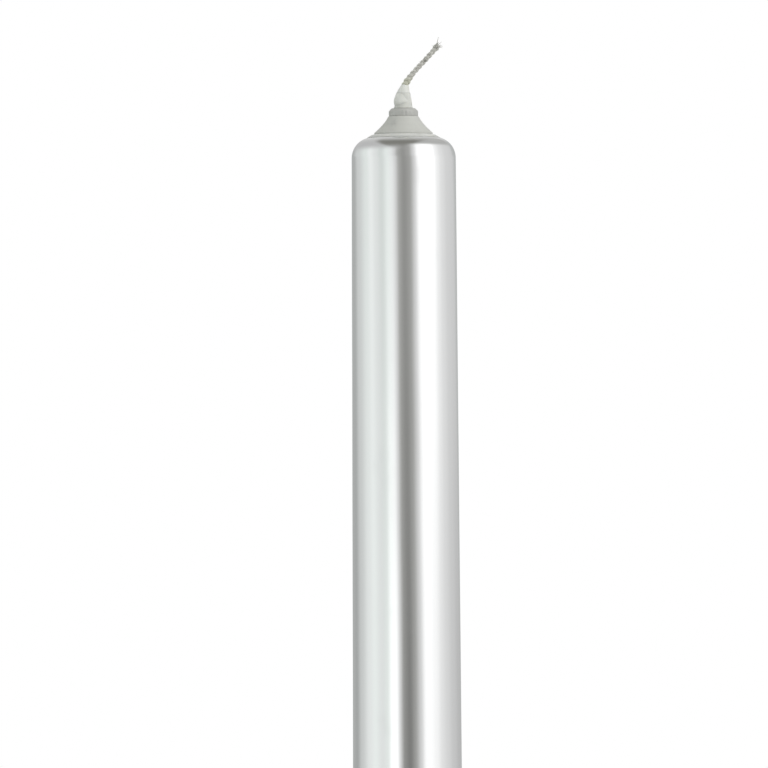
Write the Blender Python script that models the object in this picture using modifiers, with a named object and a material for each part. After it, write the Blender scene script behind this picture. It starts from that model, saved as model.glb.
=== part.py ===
"""A mold for one 22 mm dinner candle, standing tip up on its own pouring dish.

The mold is a drawn aluminium tube with a slight draft. Its tip end is closed by a separate cone
that seals round the wick, and its open end passes through a shallow dish. Tip down, the dish is
the pouring funnel and holds the rod that the wick is looped over. Tip up, it is the foot.

Run it with: blender --background --python part.py
Metres, +Z up. The origin is the centre of the foot, on the surface that the mold stands on.
"""

import math

import bmesh
import bpy
from mathutils import Vector

MM = 0.001
FIT_GAP = 0.3 * MM  # left between pieces that touch on the real mold

# Driving dimensions
CANDLE_BASE_R = 11.1 * MM  # the finished candle's base, and the bore at the open end
TUBE_WALL = 0.8 * MM
DRAFT = math.radians(0.215)  # each side, so that the candle slides out of the open end
TIP_Z = 254.0 * MM  # the tip's datum: heights of the shoulder, cone and wick are from here
WICK_R = 0.65 * MM

# Tube
OPEN_END_Z = 11.5 * MM
RIM_BEAD_R = 1.0 * MM
SHOULDER_R = 4.4 * MM  # radius of the shoulder, from the tube's wall up to the seat
SHOULDER_START = -3.05 * MM
SEAT_Z = 1.15 * MM  # the flat seat under the tip gasket
TIP_HOLE_R = 5.4 * MM

# Tip cone, from the datum
CONE_FLANGE_R = 6.2 * MM
CONE_FLANGE_Z = 2.25 * MM
CONE_TOP_R = 3.3 * MM
CONE_TOP_Z = 5.7 * MM
NECK_R = 2.1 * MM
NECK_TOP_Z = 6.6 * MM
WICK_HOLE_R = WICK_R + FIT_GAP
CONE_FLARE = 1.35  # above 1 the cone's side steepens towards its top
CONE_WALL = 0.95 * MM
SPIGOT_WALL = 0.3 * MM

# Gland nut and wick seal, from the datum
NUT_R = 3.1 * MM
NUT_CHAMFER = 0.6 * MM
NUT_RIB = 0.16 * MM
NUT_RIBS = 16
NUT_Z = (6.0 * MM, 7.5 * MM)
NUT_LIP_Z = 6.9 * MM
SEAL_R = 1.9 * MM
SEAL_END_R = 1.6 * MM
SEAL_Z = (6.9 * MM, 10.9 * MM)

# Wick: its route above the seal, from the datum, and how thick its waxed foot is
WICK_BEND = [
    (0.0, 0.0, 9.2),
    (0.0, 0.0, 10.4),
    (0.08, -0.02, 11.4),
    (0.42, -0.08, 12.5),
    (1.25, -0.2, 13.7),
    (2.35, -0.35, 15.0),
    (3.5, -0.45, 16.3),
    (4.65, -0.55, 17.6),
    (5.8, -0.6, 18.8),
    (6.7, -0.65, 20.0),
    (7.1, -0.7, 21.2),
    (7.25, -0.72, 22.6),
]
FRAY_Z = 21.0 * MM  # the wick's end thins out from here, to FRAY_R
FRAY_R = 0.4 * MM
WAXED_R = 1.3 * MM
WAXED_Z = (11.2 * MM, 12.6 * MM)  # where the wax is thickest
BARE_Z = 14.6 * MM  # the wax ends here

# Pouring dish, rim down
DISH_TOP_Z = 16.0 * MM
DISH_R = 28.0 * MM
DISH_WALL = 1.0 * MM
DISH_FLOOR = 1.2 * MM
DISH_CORNER_R = 5.0 * MM
DISH_BEAD_R = 1.5 * MM
DISH_BEAD_Z = 2.6 * MM
DISH_NECK_R = 12.2 * MM  # inside of the neck round the tube
DISH_NECK_FILLET = 3.0 * MM
DISH_FLARE_Z = 24.6 * MM
DISH_FLARE = 2.2 * MM  # the mouth of the neck opens by this much, at 45 degrees

# Rubber pieces of the foot
FOOT_R = 31.0 * MM
FOOT_INNER_R = 26.0 * MM
FOOT_CHAMFER = 0.5 * MM
NECK_RING_R = 1.1 * MM
GASKET_T = 0.7 * MM

# Wick rod, its knob and its grommets
ROD_Z = 8.2 * MM
ROD_R = 1.5 * MM
ROD_REACH = 41.0 * MM  # the rod's tip and the knob's end, left and right of the middle
ROD_POINT = 2.5 * MM
ROD_IN_KNOB = 36.5 * MM  # the rod's end, inside the knob
KNOB_R = 4.2 * MM
KNOB_START = 29.9 * MM
KNOB_RIB = 0.2 * MM
KNOB_RIBS = 20
PIN_R = 0.6 * MM
PIN_X = 33.4 * MM
GROMMET_FLANGE_R = 3.7 * MM
GROMMET_FLANGE_T = 1.1 * MM
GROMMET_HOLE_R = 3.2 * MM  # the hole in the dish's wall

# Loop that ties the wick to the rod
LOOP_R = ROD_R + FIT_GAP + WICK_R
KNOT_R = 1.7 * MM
KNOT_Z = 12.9 * MM

# Facets round the axis
ROUND_LARGE = 40
ROUND_SMALL = 24

SHARP_EDGE = math.radians(35)

SILVER = (0.86, 0.87, 0.87)
SATIN = (0.72, 0.73, 0.72)
RUBBER = (0.035, 0.036, 0.038)
SILICONE = (0.80, 0.81, 0.78)
STEEL = (0.62, 0.63, 0.64)
COTTON = (0.83, 0.82, 0.76)


def clear_scene():
    """Removes whatever the scene holds."""
    for old in list(bpy.data.objects):
        bpy.data.objects.remove(old)


def collection(name):
    """Adds a collection to the scene."""
    made = bpy.data.collections.new(name)
    bpy.context.scene.collection.children.link(made)
    return made


def material(name, colour, roughness, metallic=0.0):
    """A Principled material of one colour."""
    made = bpy.data.materials.new(name)
    made.use_nodes = True
    shader = made.node_tree.nodes["Principled BSDF"]
    shader.inputs["Base Color"].default_value = (*colour, 1.0)
    shader.inputs["Roughness"].default_value = roughness
    shader.inputs["Metallic"].default_value = metallic
    made.diffuse_color = (*colour, 1.0)
    return made


def empty(name, location, group):
    """An empty that carries the pieces of one moving unit."""
    made = bpy.data.objects.new(name, None)
    made.location = location
    made.empty_display_size = 5 * MM
    group.objects.link(made)
    return made


def arc(centre, radius, start, end, steps):
    """Points (r, z) along an arc, from start to end degrees, both ends included."""
    turn = [math.radians(start + (end - start) * i / steps) for i in range(steps + 1)]
    return [(centre[0] + radius * math.cos(a), centre[1] + radius * math.sin(a)) for a in turn]


def tube_outer_r(z):
    """The tube's outer radius at height z: it widens towards the open end."""
    top_r = CANDLE_BASE_R + TUBE_WALL - (TIP_Z - OPEN_END_Z) * math.tan(DRAFT)
    return top_r + (TIP_Z - z) * math.tan(DRAFT)


def turned(name, profile, finish, group, facets=ROUND_LARGE, closed=True):
    """Turns a profile of (r, z) points round Z. It runs down the outer side, then back up the bore.

    A profile that isn't closed starts and ends on the axis, and makes a solid of revolution.
    """
    mesh = bpy.data.meshes.new(name)
    count = len(profile)
    edges = [(i, i + 1) for i in range(count - 1)] + ([(count - 1, 0)] if closed else [])
    mesh.from_pydata([(r, 0.0, z) for r, z in profile], edges, [])
    made = bpy.data.objects.new(name, mesh)
    group.objects.link(made)
    screw = made.modifiers.new("Turn", "SCREW")
    screw.angle = 2 * math.pi
    screw.steps = facets
    screw.render_steps = facets
    screw.use_merge_vertices = True
    screw.merge_threshold = 0.00001
    mesh.materials.append(finish)
    apply_modifiers(made)
    return made


def apply_modifiers(made):
    """Makes an object's modifiers permanent, and shades it smooth with its edges kept sharp."""
    evaluated = made.evaluated_get(bpy.context.evaluated_depsgraph_get())
    made.data = bpy.data.meshes.new_from_object(evaluated)
    made.modifiers.clear()
    made.data.shade_smooth()
    made.data.set_sharp_from_angle(angle=SHARP_EDGE)


def move_to(shape, group):
    """Leaves an object in one collection only."""
    for old in list(shape.users_collection):
        old.objects.unlink(shape)
    group.objects.link(shape)


def cutter(shape, group):
    """Marks an object as a cutter, which isn't a part."""
    move_to(shape, group)
    shape.hide_render = True
    shape.display_type = "WIRE"
    return shape


def cylinder(name, radius, length, location, axis, facets=ROUND_SMALL):
    """A plain cylinder centred on location, along axis."""
    bpy.ops.mesh.primitive_cylinder_add(vertices=facets, radius=radius, depth=length)
    made = bpy.context.object
    made.name = name
    made.location = location
    made.rotation_mode = "QUATERNION"
    made.rotation_quaternion = Vector(axis).to_track_quat("Z", "Y")
    return made


def boolean(part, tool, operation):
    """Cuts or joins part with tool."""
    modifier = part.modifiers.new(f"{operation.title()} {tool.name}", "BOOLEAN")
    modifier.operation = operation
    modifier.object = tool
    return modifier


def rib_cutter(name, radius, depth, span, ribs, group):
    """A ring with a scalloped bore, which leaves shallow ribs round a knob or a nut."""
    mesh = bpy.data.meshes.new(name)
    shape = bmesh.new()
    rings = []
    for z in span:
        outer = [(radius * 1.6, z, math.pi * i / ribs) for i in range(2 * ribs)]
        inner = [(radius - depth * (i % 2), z, math.pi * i / ribs) for i in range(2 * ribs)]
        for ring in (outer, inner):
            rings.append([shape.verts.new((r * math.cos(a), r * math.sin(a), h)) for r, h, a in ring])
    low_outer, low_inner, high_outer, high_inner = rings
    for i in range(2 * ribs):
        j = (i + 1) % (2 * ribs)
        shape.faces.new((low_outer[i], low_outer[j], high_outer[j], high_outer[i]))
        shape.faces.new((low_inner[j], low_inner[i], high_inner[i], high_inner[j]))
        shape.faces.new((high_outer[i], high_outer[j], high_inner[j], high_inner[i]))
        shape.faces.new((low_outer[j], low_outer[i], low_inner[i], low_inner[j]))
    shape.to_mesh(mesh)
    shape.free()
    return cutter(bpy.data.objects.new(name, mesh), group)


def make_tube(group, finish):
    """The drawn tube: a round shoulder up to the flat seat for the cone, and a rolled rim below."""
    start_z = TIP_Z + SHOULDER_START
    wall_r = tube_outer_r(start_z)
    centre = (wall_r - SHOULDER_R, start_z)
    bead = (tube_outer_r(OPEN_END_Z) + RIM_BEAD_R, OPEN_END_Z + RIM_BEAD_R)
    inner_r = SHOULDER_R - TUBE_WALL
    rise = SEAT_Z - SHOULDER_START
    turn = math.degrees(math.asin(rise / SHOULDER_R))
    inner_turn = math.degrees(math.asin((rise - TUBE_WALL) / inner_r))
    outside = [(TIP_HOLE_R, TIP_Z + SEAT_Z), *arc(centre, SHOULDER_R, turn, 0, 8)]
    outside += arc(bead, RIM_BEAD_R, 170, -90, 7)
    inside = [(CANDLE_BASE_R, OPEN_END_Z), *arc(centre, inner_r, 0, inner_turn, 5)]
    inside.append((TIP_HOLE_R, TIP_Z + SEAT_Z - TUBE_WALL))
    return turned("mold_tube", outside + inside, finish, group)


def cone_side(share):
    """(r, z) on the cone's outer side, from its flange at 0 to its top at 1: a trumpet curve."""
    r = CONE_TOP_R + (CONE_FLANGE_R - CONE_TOP_R) * (1 - share) ** CONE_FLARE
    return r, CONE_FLANGE_Z + (CONE_TOP_Z - CONE_FLANGE_Z) * share


def make_cone(parent, group, finish):
    """The hollow cone that shapes the candle's tip, with a spigot below and a neck above."""
    spigot_r = TIP_HOLE_R - FIT_GAP
    spigot_z = SEAT_Z - TUBE_WALL
    side = [cone_side(1 - i / 6) for i in range(7)]
    outside = [(WICK_HOLE_R, NECK_TOP_Z), (NECK_R, NECK_TOP_Z), (NECK_R, CONE_TOP_Z)]
    outside += side + [(spigot_r, CONE_FLANGE_Z), (spigot_r, spigot_z)]
    inside = [(spigot_r - SPIGOT_WALL, spigot_z)]
    inside += [(r - CONE_WALL, z - CONE_WALL / 2) for r, z in reversed(side) if r - CONE_WALL > SEAL_R]
    inside.append((WICK_HOLE_R, CONE_TOP_Z))
    made = turned("tip_cone", outside + inside, finish, group, ROUND_SMALL)
    made.parent = parent
    return made


def make_tip_gasket(parent, group, finish):
    """The flat ring between the cone's flange and the seat, its edge flush with both."""
    low = SEAT_Z + FIT_GAP
    high = CONE_FLANGE_Z - FIT_GAP
    profile = [(TIP_HOLE_R, high), (6.65 * MM, high), (7.3 * MM, low), (TIP_HOLE_R, low)]
    made = turned("tip_gasket", profile, finish, group, ROUND_SMALL)
    made.parent = parent
    return made


def make_gland_nut(parent, group, cutters, finish):
    """The ribbed nut that squeezes the seal round the wick."""
    low, high = NUT_Z
    bore = NECK_R + FIT_GAP
    lip = SEAL_R + FIT_GAP
    profile = [
        (lip, high),
        (NUT_R - NUT_CHAMFER, high),
        (NUT_R, high - NUT_CHAMFER),
        (NUT_R, low + NUT_RIB),
        (NUT_R - NUT_RIB, low),
        (bore, low),
        (bore, NUT_LIP_Z),
        (lip, NUT_LIP_Z),
    ]
    made = turned("gland_nut", profile, finish, group, 2 * NUT_RIBS)
    made.parent = parent
    ribs = rib_cutter("gland_nut_ribs", NUT_R + 0.02 * MM, NUT_RIB, (low - MM, high + MM), NUT_RIBS, cutters)
    ribs.parent = parent
    ribs.rotation_euler.z = math.pi / (2 * NUT_RIBS)
    boolean(made, ribs, "DIFFERENCE")
    return made


def make_seal(parent, group, finish):
    """The soft sleeve that grips the wick where it leaves the cone."""
    low, high = SEAL_Z
    profile = [
        (WICK_HOLE_R, high),
        (SEAL_END_R - 0.1 * MM, high),
        (SEAL_END_R, high - 0.3 * MM),
        ((SEAL_R + SEAL_END_R) / 2, (low + 2 * high) / 3),
        (SEAL_R, (2 * low + high) / 3),
        (SEAL_R, low),
        (WICK_HOLE_R, low),
    ]
    made = turned("wick_seal", profile, finish, group, ROUND_SMALL)
    made.parent = parent
    return made


def smooth_route(points, steps):
    """Points along a Catmull-Rom curve through the given points, steps to each stretch."""
    padded = [2 * points[0] - points[1], *points, 2 * points[-1] - points[-2]]
    route = []
    for a, b, c, d in zip(padded, padded[1:], padded[2:], padded[3:]):
        pull = 2 * a - 5 * b + 4 * c - d
        twist = 3 * b - a - 3 * c + d
        for t in [i / steps for i in range(steps)]:
            route.append(0.5 * (2 * b + (c - a) * t + pull * t**2 + twist * t**3))
    return route + [points[-1]]


def wick_radius(z):
    """The wick's radius at a height above the datum: thick with wax just above the seal."""
    low, high = WAXED_Z
    if z > FRAY_Z:
        share = (z - FRAY_Z) / (WICK_BEND[-1][2] * MM - FRAY_Z)
        return WICK_R + (FRAY_R - WICK_R) * share
    if z < low or z > BARE_Z:
        return WICK_R
    if z <= high:
        return WAXED_R
    share = (BARE_Z - z) / (BARE_Z - high)
    return WICK_R + (WAXED_R - WICK_R) * share**1.5


def make_wick(parent, group, finish):
    """The wick: straight up the bore and through the seal, then bent over at its free end."""
    bottom = KNOT_Z + KNOT_R + 2 * FIT_GAP - TIP_Z
    bend = [Vector(p) * MM for p in WICK_BEND]
    rises = 6  # stretches of the straight run
    straight = [Vector((0, 0, bottom + (bend[0].z - bottom) * i / rises)) for i in range(rises)]
    route = straight + smooth_route(bend, 3)
    curve = bpy.data.curves.new("wick", "CURVE")
    curve.dimensions = "3D"
    curve.bevel_depth = WICK_R
    curve.bevel_resolution = 2
    curve.use_fill_caps = True
    spline = curve.splines.new("POLY")
    spline.points.add(len(route) - 1)
    for point, place in zip(spline.points, route):
        point.co = (*place, 1.0)
        point.radius = wick_radius(place.z) / WICK_R
    made = bpy.data.objects.new("wick", curve)
    group.objects.link(made)
    curve.materials.append(finish)
    made.parent = parent
    return made


def make_dish(group, cutters, finish):
    """The spun dish, rim down: rolled bead, wall, rounded corner, floor, and a neck with a flared mouth."""
    wall_in = DISH_R - DISH_WALL
    bead = (wall_in + DISH_BEAD_R, DISH_BEAD_Z)
    corner = (DISH_R - DISH_CORNER_R, DISH_TOP_Z - DISH_CORNER_R)
    neck_out = DISH_NECK_R + DISH_WALL
    fillet = (neck_out + DISH_NECK_FILLET, DISH_TOP_Z + DISH_NECK_FILLET)
    lip = DISH_WALL / math.sqrt(2)
    mouth = (DISH_NECK_R + DISH_FLARE, DISH_FLARE_Z + DISH_FLARE)
    outside = [mouth, (mouth[0] + lip, mouth[1] - lip), (neck_out, DISH_FLARE_Z - 0.4 * MM)]
    outside += arc(fillet, DISH_NECK_FILLET, 180, 270, 4)
    outside += arc(corner, DISH_CORNER_R, 90, 0, 5)
    outside += arc(bead, DISH_BEAD_R, 109, -180, 8)
    inside = arc(corner, DISH_CORNER_R - DISH_WALL, 0, 80, 3)
    inside += [(DISH_NECK_R + 3 * MM, DISH_TOP_Z - DISH_FLOOR), (DISH_NECK_R, DISH_TOP_Z - DISH_FLOOR)]
    inside.append((DISH_NECK_R, DISH_FLARE_Z))
    made = turned("pour_dish", outside + inside, finish, group)
    hole = cylinder("rod_holes", GROMMET_HOLE_R, 2.5 * DISH_R, (0, 0, ROD_Z), (1, 0, 0))
    boolean(made, cutter(hole, cutters), "DIFFERENCE")
    return made


def make_dish_gasket(group, finish):
    """The flat ring that seals the tube's rolled rim to the dish's floor."""
    high = DISH_TOP_Z - DISH_FLOOR - FIT_GAP
    low = high - GASKET_T
    inner = tube_outer_r(low) + FIT_GAP
    profile = [(inner, high), (inner + 3.3 * MM, high), (inner + 3.3 * MM, low), (inner, low)]
    return turned("dish_gasket", profile, finish, group)


def make_neck_ring(group, finish):
    """The rubber ring rolled down into the neck's flared mouth, which wedges the dish to the tube."""
    touch = NECK_RING_R + FIT_GAP
    r = tube_outer_r(DISH_FLARE_Z) + touch
    z = DISH_FLARE_Z + (r - DISH_NECK_R) + touch * math.sqrt(2)
    return turned("neck_ring", arc((r, z), NECK_RING_R, 90, -234, 9), finish, group)


def make_foot_ring(group, finish):
    """The rubber edging that the dish's bead sits in, and that the mold stands on."""
    bead = (DISH_R - DISH_WALL + DISH_BEAD_R, DISH_BEAD_Z)
    groove = DISH_BEAD_R + FIT_GAP
    profile = [
        (FOOT_R, DISH_BEAD_Z),
        (FOOT_R, FOOT_CHAMFER),
        (FOOT_R - FOOT_CHAMFER, 0.0),
        (FOOT_INNER_R + FOOT_CHAMFER, 0.0),
        (FOOT_INNER_R, FOOT_CHAMFER),
        (FOOT_INNER_R, DISH_BEAD_Z - 0.5 * MM),
    ]
    return turned("foot_ring", profile + arc(bead, groove, 190, 360, 6), finish, group)


def make_grommet(side, name, group, finish):
    """A rubber grommet in the dish's wall, on the left (-1) or the right (1)."""
    inner_face = DISH_R - DISH_WALL - 0.63 * MM
    outer_face = DISH_R + FIT_GAP
    bore = ROD_R + FIT_GAP
    body = GROMMET_HOLE_R - FIT_GAP
    soft = 0.35 * MM
    far = outer_face + GROMMET_FLANGE_T
    near = inner_face - GROMMET_FLANGE_T
    profile = [
        (bore, far),
        (GROMMET_FLANGE_R - soft, far),
        (GROMMET_FLANGE_R, far - soft),
        (GROMMET_FLANGE_R, outer_face),
        (body, outer_face),
        (body, inner_face),
        (GROMMET_FLANGE_R, inner_face),
        (GROMMET_FLANGE_R, near + soft),
        (GROMMET_FLANGE_R - soft, near),
        (bore, near),
    ]
    made = turned(name, profile, finish, group, ROUND_SMALL)
    made.location = (0, 0, ROD_Z)
    made.rotation_euler.y = side * math.pi / 2
    return made


def make_rod(parent, group, cutters, finish):
    """The steel rod across the dish that the wick is looped over."""
    profile = [(0.0, ROD_IN_KNOB), (ROD_R, ROD_IN_KNOB), (ROD_R, ROD_POINT - ROD_REACH)]
    profile += [(0.45 * ROD_R, 0.3 * ROD_POINT - ROD_REACH), (0.0, -ROD_REACH)]
    made = turned("wick_rod", profile, finish, group, ROUND_SMALL, closed=False)
    made.parent = parent
    hole = cylinder("rod_pin_hole", PIN_R + FIT_GAP, 4 * ROD_R, (0, 0, PIN_X), (0, 1, 0))
    hole.parent = parent
    boolean(made, cutter(hole, cutters), "DIFFERENCE")
    return made


def make_knob(parent, group, cutters, finish):
    """The ribbed knob on the rod's right end, drilled for the rod and for its cross pin."""
    bore = ROD_R + FIT_GAP
    depth = ROD_IN_KNOB + FIT_GAP
    waist = 3.0 * MM
    profile = [
        (0.0, ROD_REACH),
        (KNOB_R - 1.2 * MM, ROD_REACH),
        (KNOB_R - 0.35 * MM, ROD_REACH - 0.35 * MM),
        (KNOB_R, ROD_REACH - 1.2 * MM),
        (KNOB_R, KNOB_START + 5.6 * MM),
        (KNOB_R - 0.5 * MM, KNOB_START + 5.1 * MM),
        (waist, KNOB_START + 4.6 * MM),
        (waist, KNOB_START + 1.2 * MM),
        (waist + 0.6 * MM, KNOB_START + 0.6 * MM),
        (waist + 0.6 * MM, KNOB_START),
        (bore, KNOB_START),
        (bore, depth),
        (0.0, depth),
    ]
    made = turned("rod_knob", profile, finish, group, 2 * KNOB_RIBS, closed=False)
    made.parent = parent
    span = (KNOB_START + 5.0 * MM, ROD_REACH + MM)
    ribs = rib_cutter("rod_knob_ribs", KNOB_R + 0.02 * MM, KNOB_RIB, span, KNOB_RIBS, cutters)
    ribs.parent = parent
    ribs.rotation_euler.z = math.pi / (2 * KNOB_RIBS)
    boolean(made, ribs, "DIFFERENCE")
    hole = cylinder("knob_pin_hole", PIN_R + FIT_GAP, 4 * KNOB_R, (0, 0, PIN_X), (0, 1, 0))
    hole.parent = parent
    boolean(made, cutter(hole, cutters), "DIFFERENCE")
    return made


def make_pin(parent, group, finish):
    """The cross pin that fixes the knob to the rod."""
    length = 5.6 * MM
    made = cylinder("knob_pin", PIN_R, length, (0, 0, PIN_X), (0, 1, 0), 16)
    move_to(made, group)
    made.parent = parent
    made.data.materials.append(finish)
    made.data.shade_smooth()
    made.data.set_sharp_from_angle(angle=SHARP_EDGE)
    return made


def make_loop(group, cutters, finish):
    """The tied end of the wick: a loop round the rod with a knot on top of it."""
    bpy.ops.mesh.primitive_torus_add(
        major_radius=LOOP_R, minor_radius=WICK_R, major_segments=20, minor_segments=8
    )
    made = bpy.context.object
    made.name = "wick_loop"
    made.location = (0, 0, ROD_Z)
    made.rotation_euler.y = math.pi / 2
    move_to(made, group)
    made.data.materials.append(finish)
    made.data.shade_smooth()
    bpy.ops.mesh.primitive_uv_sphere_add(segments=12, ring_count=8, radius=KNOT_R)
    knot = bpy.context.object
    knot.name = "wick_knot"
    knot.location = (0, 0, KNOT_Z)
    boolean(made, cutter(knot, cutters), "UNION")
    return made


def main():
    """Builds the whole mold."""
    clear_scene()
    parts = collection("candle_mold")
    cutters = collection("cutters")
    polished = material("polished_aluminium", SILVER, 0.16, 1.0)
    satin = material("satin_aluminium", SATIN, 0.42, 1.0)
    rubber = material("black_rubber", RUBBER, 0.6)
    silicone = material("silicone", SILICONE, 0.35)
    steel = material("stainless_steel", STEEL, 0.25, 1.0)
    cotton = material("cotton_wick", COTTON, 0.9)

    make_tube(parts, polished)
    make_dish(parts, cutters, polished)
    make_dish_gasket(parts, rubber)
    make_neck_ring(parts, rubber)
    make_foot_ring(parts, rubber)
    make_grommet(-1, "rod_grommet_left", parts, rubber)
    make_grommet(1, "rod_grommet_right", parts, rubber)
    make_loop(parts, cutters, cotton)

    tip_unit = empty("tip_unit", (0, 0, TIP_Z), parts)
    make_cone(tip_unit, parts, satin)
    make_tip_gasket(tip_unit, parts, silicone)
    make_gland_nut(tip_unit, parts, cutters, satin)
    make_seal(tip_unit, parts, silicone)
    make_wick(tip_unit, parts, cotton)

    rod_unit = empty("rod_unit", (0, 0, ROD_Z), parts)
    rod_unit.rotation_euler.y = math.pi / 2
    make_rod(rod_unit, parts, cutters, steel)
    make_knob(rod_unit, parts, cutters, satin)
    make_pin(rod_unit, parts, steel)


main()
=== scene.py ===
"""Looks for a mold that casts one 22 mm dinner candle, standing tip up on its pouring dish.

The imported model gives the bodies, their motions and the heights that the sizes below start from.
This script dresses it: each piece is turned, swept or braided as a fine mesh, gets the finish that
its maker would give it, and rides on the body that it belongs to.
"""

import logging
import math
import random
from collections.abc import Callable, Iterable, Sequence
from dataclasses import dataclass, field
from enum import Enum

import bmesh
import bpy
from mathutils import Matrix, Quaternion, Vector, noise

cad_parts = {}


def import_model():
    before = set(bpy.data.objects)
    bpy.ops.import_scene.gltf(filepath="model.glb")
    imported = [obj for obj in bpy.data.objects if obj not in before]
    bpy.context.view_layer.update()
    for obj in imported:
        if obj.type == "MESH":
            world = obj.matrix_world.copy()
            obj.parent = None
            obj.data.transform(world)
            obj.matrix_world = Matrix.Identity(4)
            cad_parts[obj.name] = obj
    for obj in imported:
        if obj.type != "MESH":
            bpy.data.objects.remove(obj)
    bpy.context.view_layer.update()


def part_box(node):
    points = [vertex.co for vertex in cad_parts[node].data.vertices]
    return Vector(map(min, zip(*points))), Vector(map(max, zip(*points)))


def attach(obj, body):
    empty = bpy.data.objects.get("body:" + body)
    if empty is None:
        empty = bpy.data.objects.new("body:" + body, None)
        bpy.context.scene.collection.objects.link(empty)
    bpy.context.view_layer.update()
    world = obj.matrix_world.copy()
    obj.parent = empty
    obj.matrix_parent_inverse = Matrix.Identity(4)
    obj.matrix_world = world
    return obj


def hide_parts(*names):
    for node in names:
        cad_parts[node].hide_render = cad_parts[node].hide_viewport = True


LOG = logging.getLogger("candle_mold")

MM = 0.001
TINY = 1e-7
ROD_HEIGHT = 8.2 * MM

Colour = tuple[float, float, float]
Spot = tuple[float, float, float]
Corner = tuple[float, float, float]
Outline = list[tuple[float, float]]
Shaper = Callable[[float, float, float], float]


class Body(Enum):
    """The rigid bodies that pieces ride on."""

    MOLD = "mold"
    TIP = "tip"
    GLAND = "gland"
    ROD = "rod"


class Slot(Enum):
    """The record's material slots."""

    POLISHED = "polished_aluminium"
    SPUN = "spun_aluminium"
    SATIN = "satin_aluminium"
    TURNED = "turned_aluminium"
    STEEL = "stainless_steel"
    RUBBER = "black_rubber"
    SILICONE = "silicone"
    COTTON = "cotton_wick"


class Axis(Enum):
    """The line that a turned piece is turned round."""

    UPRIGHT = "z"
    ALONG_ROD = "x"


# ---------------------------------------------------------------------------------------------
# Shaping
# ---------------------------------------------------------------------------------------------


def shares(steps: int) -> list[float]:
    """Evenly spaced shares from 0 to 1, both ends included."""
    return [i / steps for i in range(steps + 1)]


def arc(centre: tuple[float, float], radius: float, start: float, end: float, steps: int) -> Outline:
    """Points along an arc in the (radius, height) plane.

    Args:
        centre: The arc's centre.
        radius: The arc's radius.
        start: Where it starts, in degrees.
        end: Where it ends, in degrees.
        steps: How many stretches it is divided into.

    Returns:
        The points, both ends included.
    """
    turns = [math.radians(start + (end - start) * i / steps) for i in range(steps + 1)]
    return [(centre[0] + radius * math.cos(a), centre[1] + radius * math.sin(a)) for a in turns]


def eased(corners: Sequence[Corner], steps: int = 5) -> Outline:
    """Rounds the corners of an outline.

    Args:
        corners: Each corner's radius from the axis, height, and how far back it is rounded.
        steps: How many stretches each rounding is divided into.

    Returns:
        The outline with its corners rounded. It is closed, so the last corner joins the first.
    """
    outline: Outline = []
    count = len(corners)
    for i, (r, z, ease) in enumerate(corners):
        here = Vector((r, z))
        if ease <= 0:
            outline.append((r, z))
            continue
        before = Vector(corners[i - 1][:2]) - here
        after = Vector(corners[(i + 1) % count][:2]) - here
        start = here + before.normalized() * min(ease, before.length * 0.48)
        end = here + after.normalized() * min(ease, after.length * 0.48)
        for t in shares(steps):
            point = start * (1 - t) ** 2 + here * 2 * t * (1 - t) + end * t * t
            outline.append((point.x, point.y))
    return outline


def divided(outline: Outline, longest: float) -> Outline:
    """Splits the long stretches of a closed outline.

    Args:
        outline: The outline.
        longest: The greatest length that a stretch may keep.

    Returns:
        The outline with more points on it, and the same shape.
    """
    split: Outline = []
    for a, b in zip(outline, outline[1:] + outline[:1]):
        parts = max(1, math.ceil(math.dist(a, b) / longest))
        run, climb = b[0] - a[0], b[1] - a[1]
        split += [(a[0] + run * i / parts, a[1] + climb * i / parts) for i in range(parts)]
    return split


def curve_through(points: Sequence[Vector], spacing: float) -> list[Vector]:
    """A smooth line through a few points.

    Args:
        points: The points that the line goes through.
        spacing: The distance between the points returned.

    Returns:
        Evenly spaced points along a Catmull-Rom curve.
    """
    ends = [2 * points[0] - points[1], *points, 2 * points[-1] - points[-2]]
    dense: list[Vector] = []
    for a, b, c, d in zip(ends, ends[1:], ends[2:], ends[3:]):
        pull = 2 * a - 5 * b + 4 * c - d
        twist = 3 * b - a - 3 * c + d
        for t in shares(24)[:-1]:
            dense.append(0.5 * (2 * b + (c - a) * t + pull * t**2 + twist * t**3))
    dense.append(points[-1])
    reach = [0.0]
    for a, b in zip(dense, dense[1:]):
        reach.append(reach[-1] + (b - a).length)
    count = max(2, round(reach[-1] / spacing))
    line: list[Vector] = []
    k = 0
    for i in range(count + 1):
        want = reach[-1] * i / count
        while k < len(dense) - 2 and reach[k + 1] < want:
            k += 1
        share = (want - reach[k]) / max(reach[k + 1] - reach[k], 1e-12)
        line.append(dense[k].lerp(dense[k + 1], min(1.0, share)))
    return line


def frames_along(line: Sequence[Vector], side: Vector) -> list[tuple[Vector, Vector]]:
    """Carries two directions along a line without twisting them.

    Args:
        line: The line.
        side: The direction to start from, across the line.

    Returns:
        Two directions across the line for each point.
    """
    frames = []
    across = side.normalized()
    for i in range(len(line)):
        ahead = (line[min(i + 1, len(line) - 1)] - line[max(i - 1, 0)]).normalized()
        across = (across - ahead * across.dot(ahead)).normalized()
        frames.append((across.copy(), ahead.cross(across)))
    return frames


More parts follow.
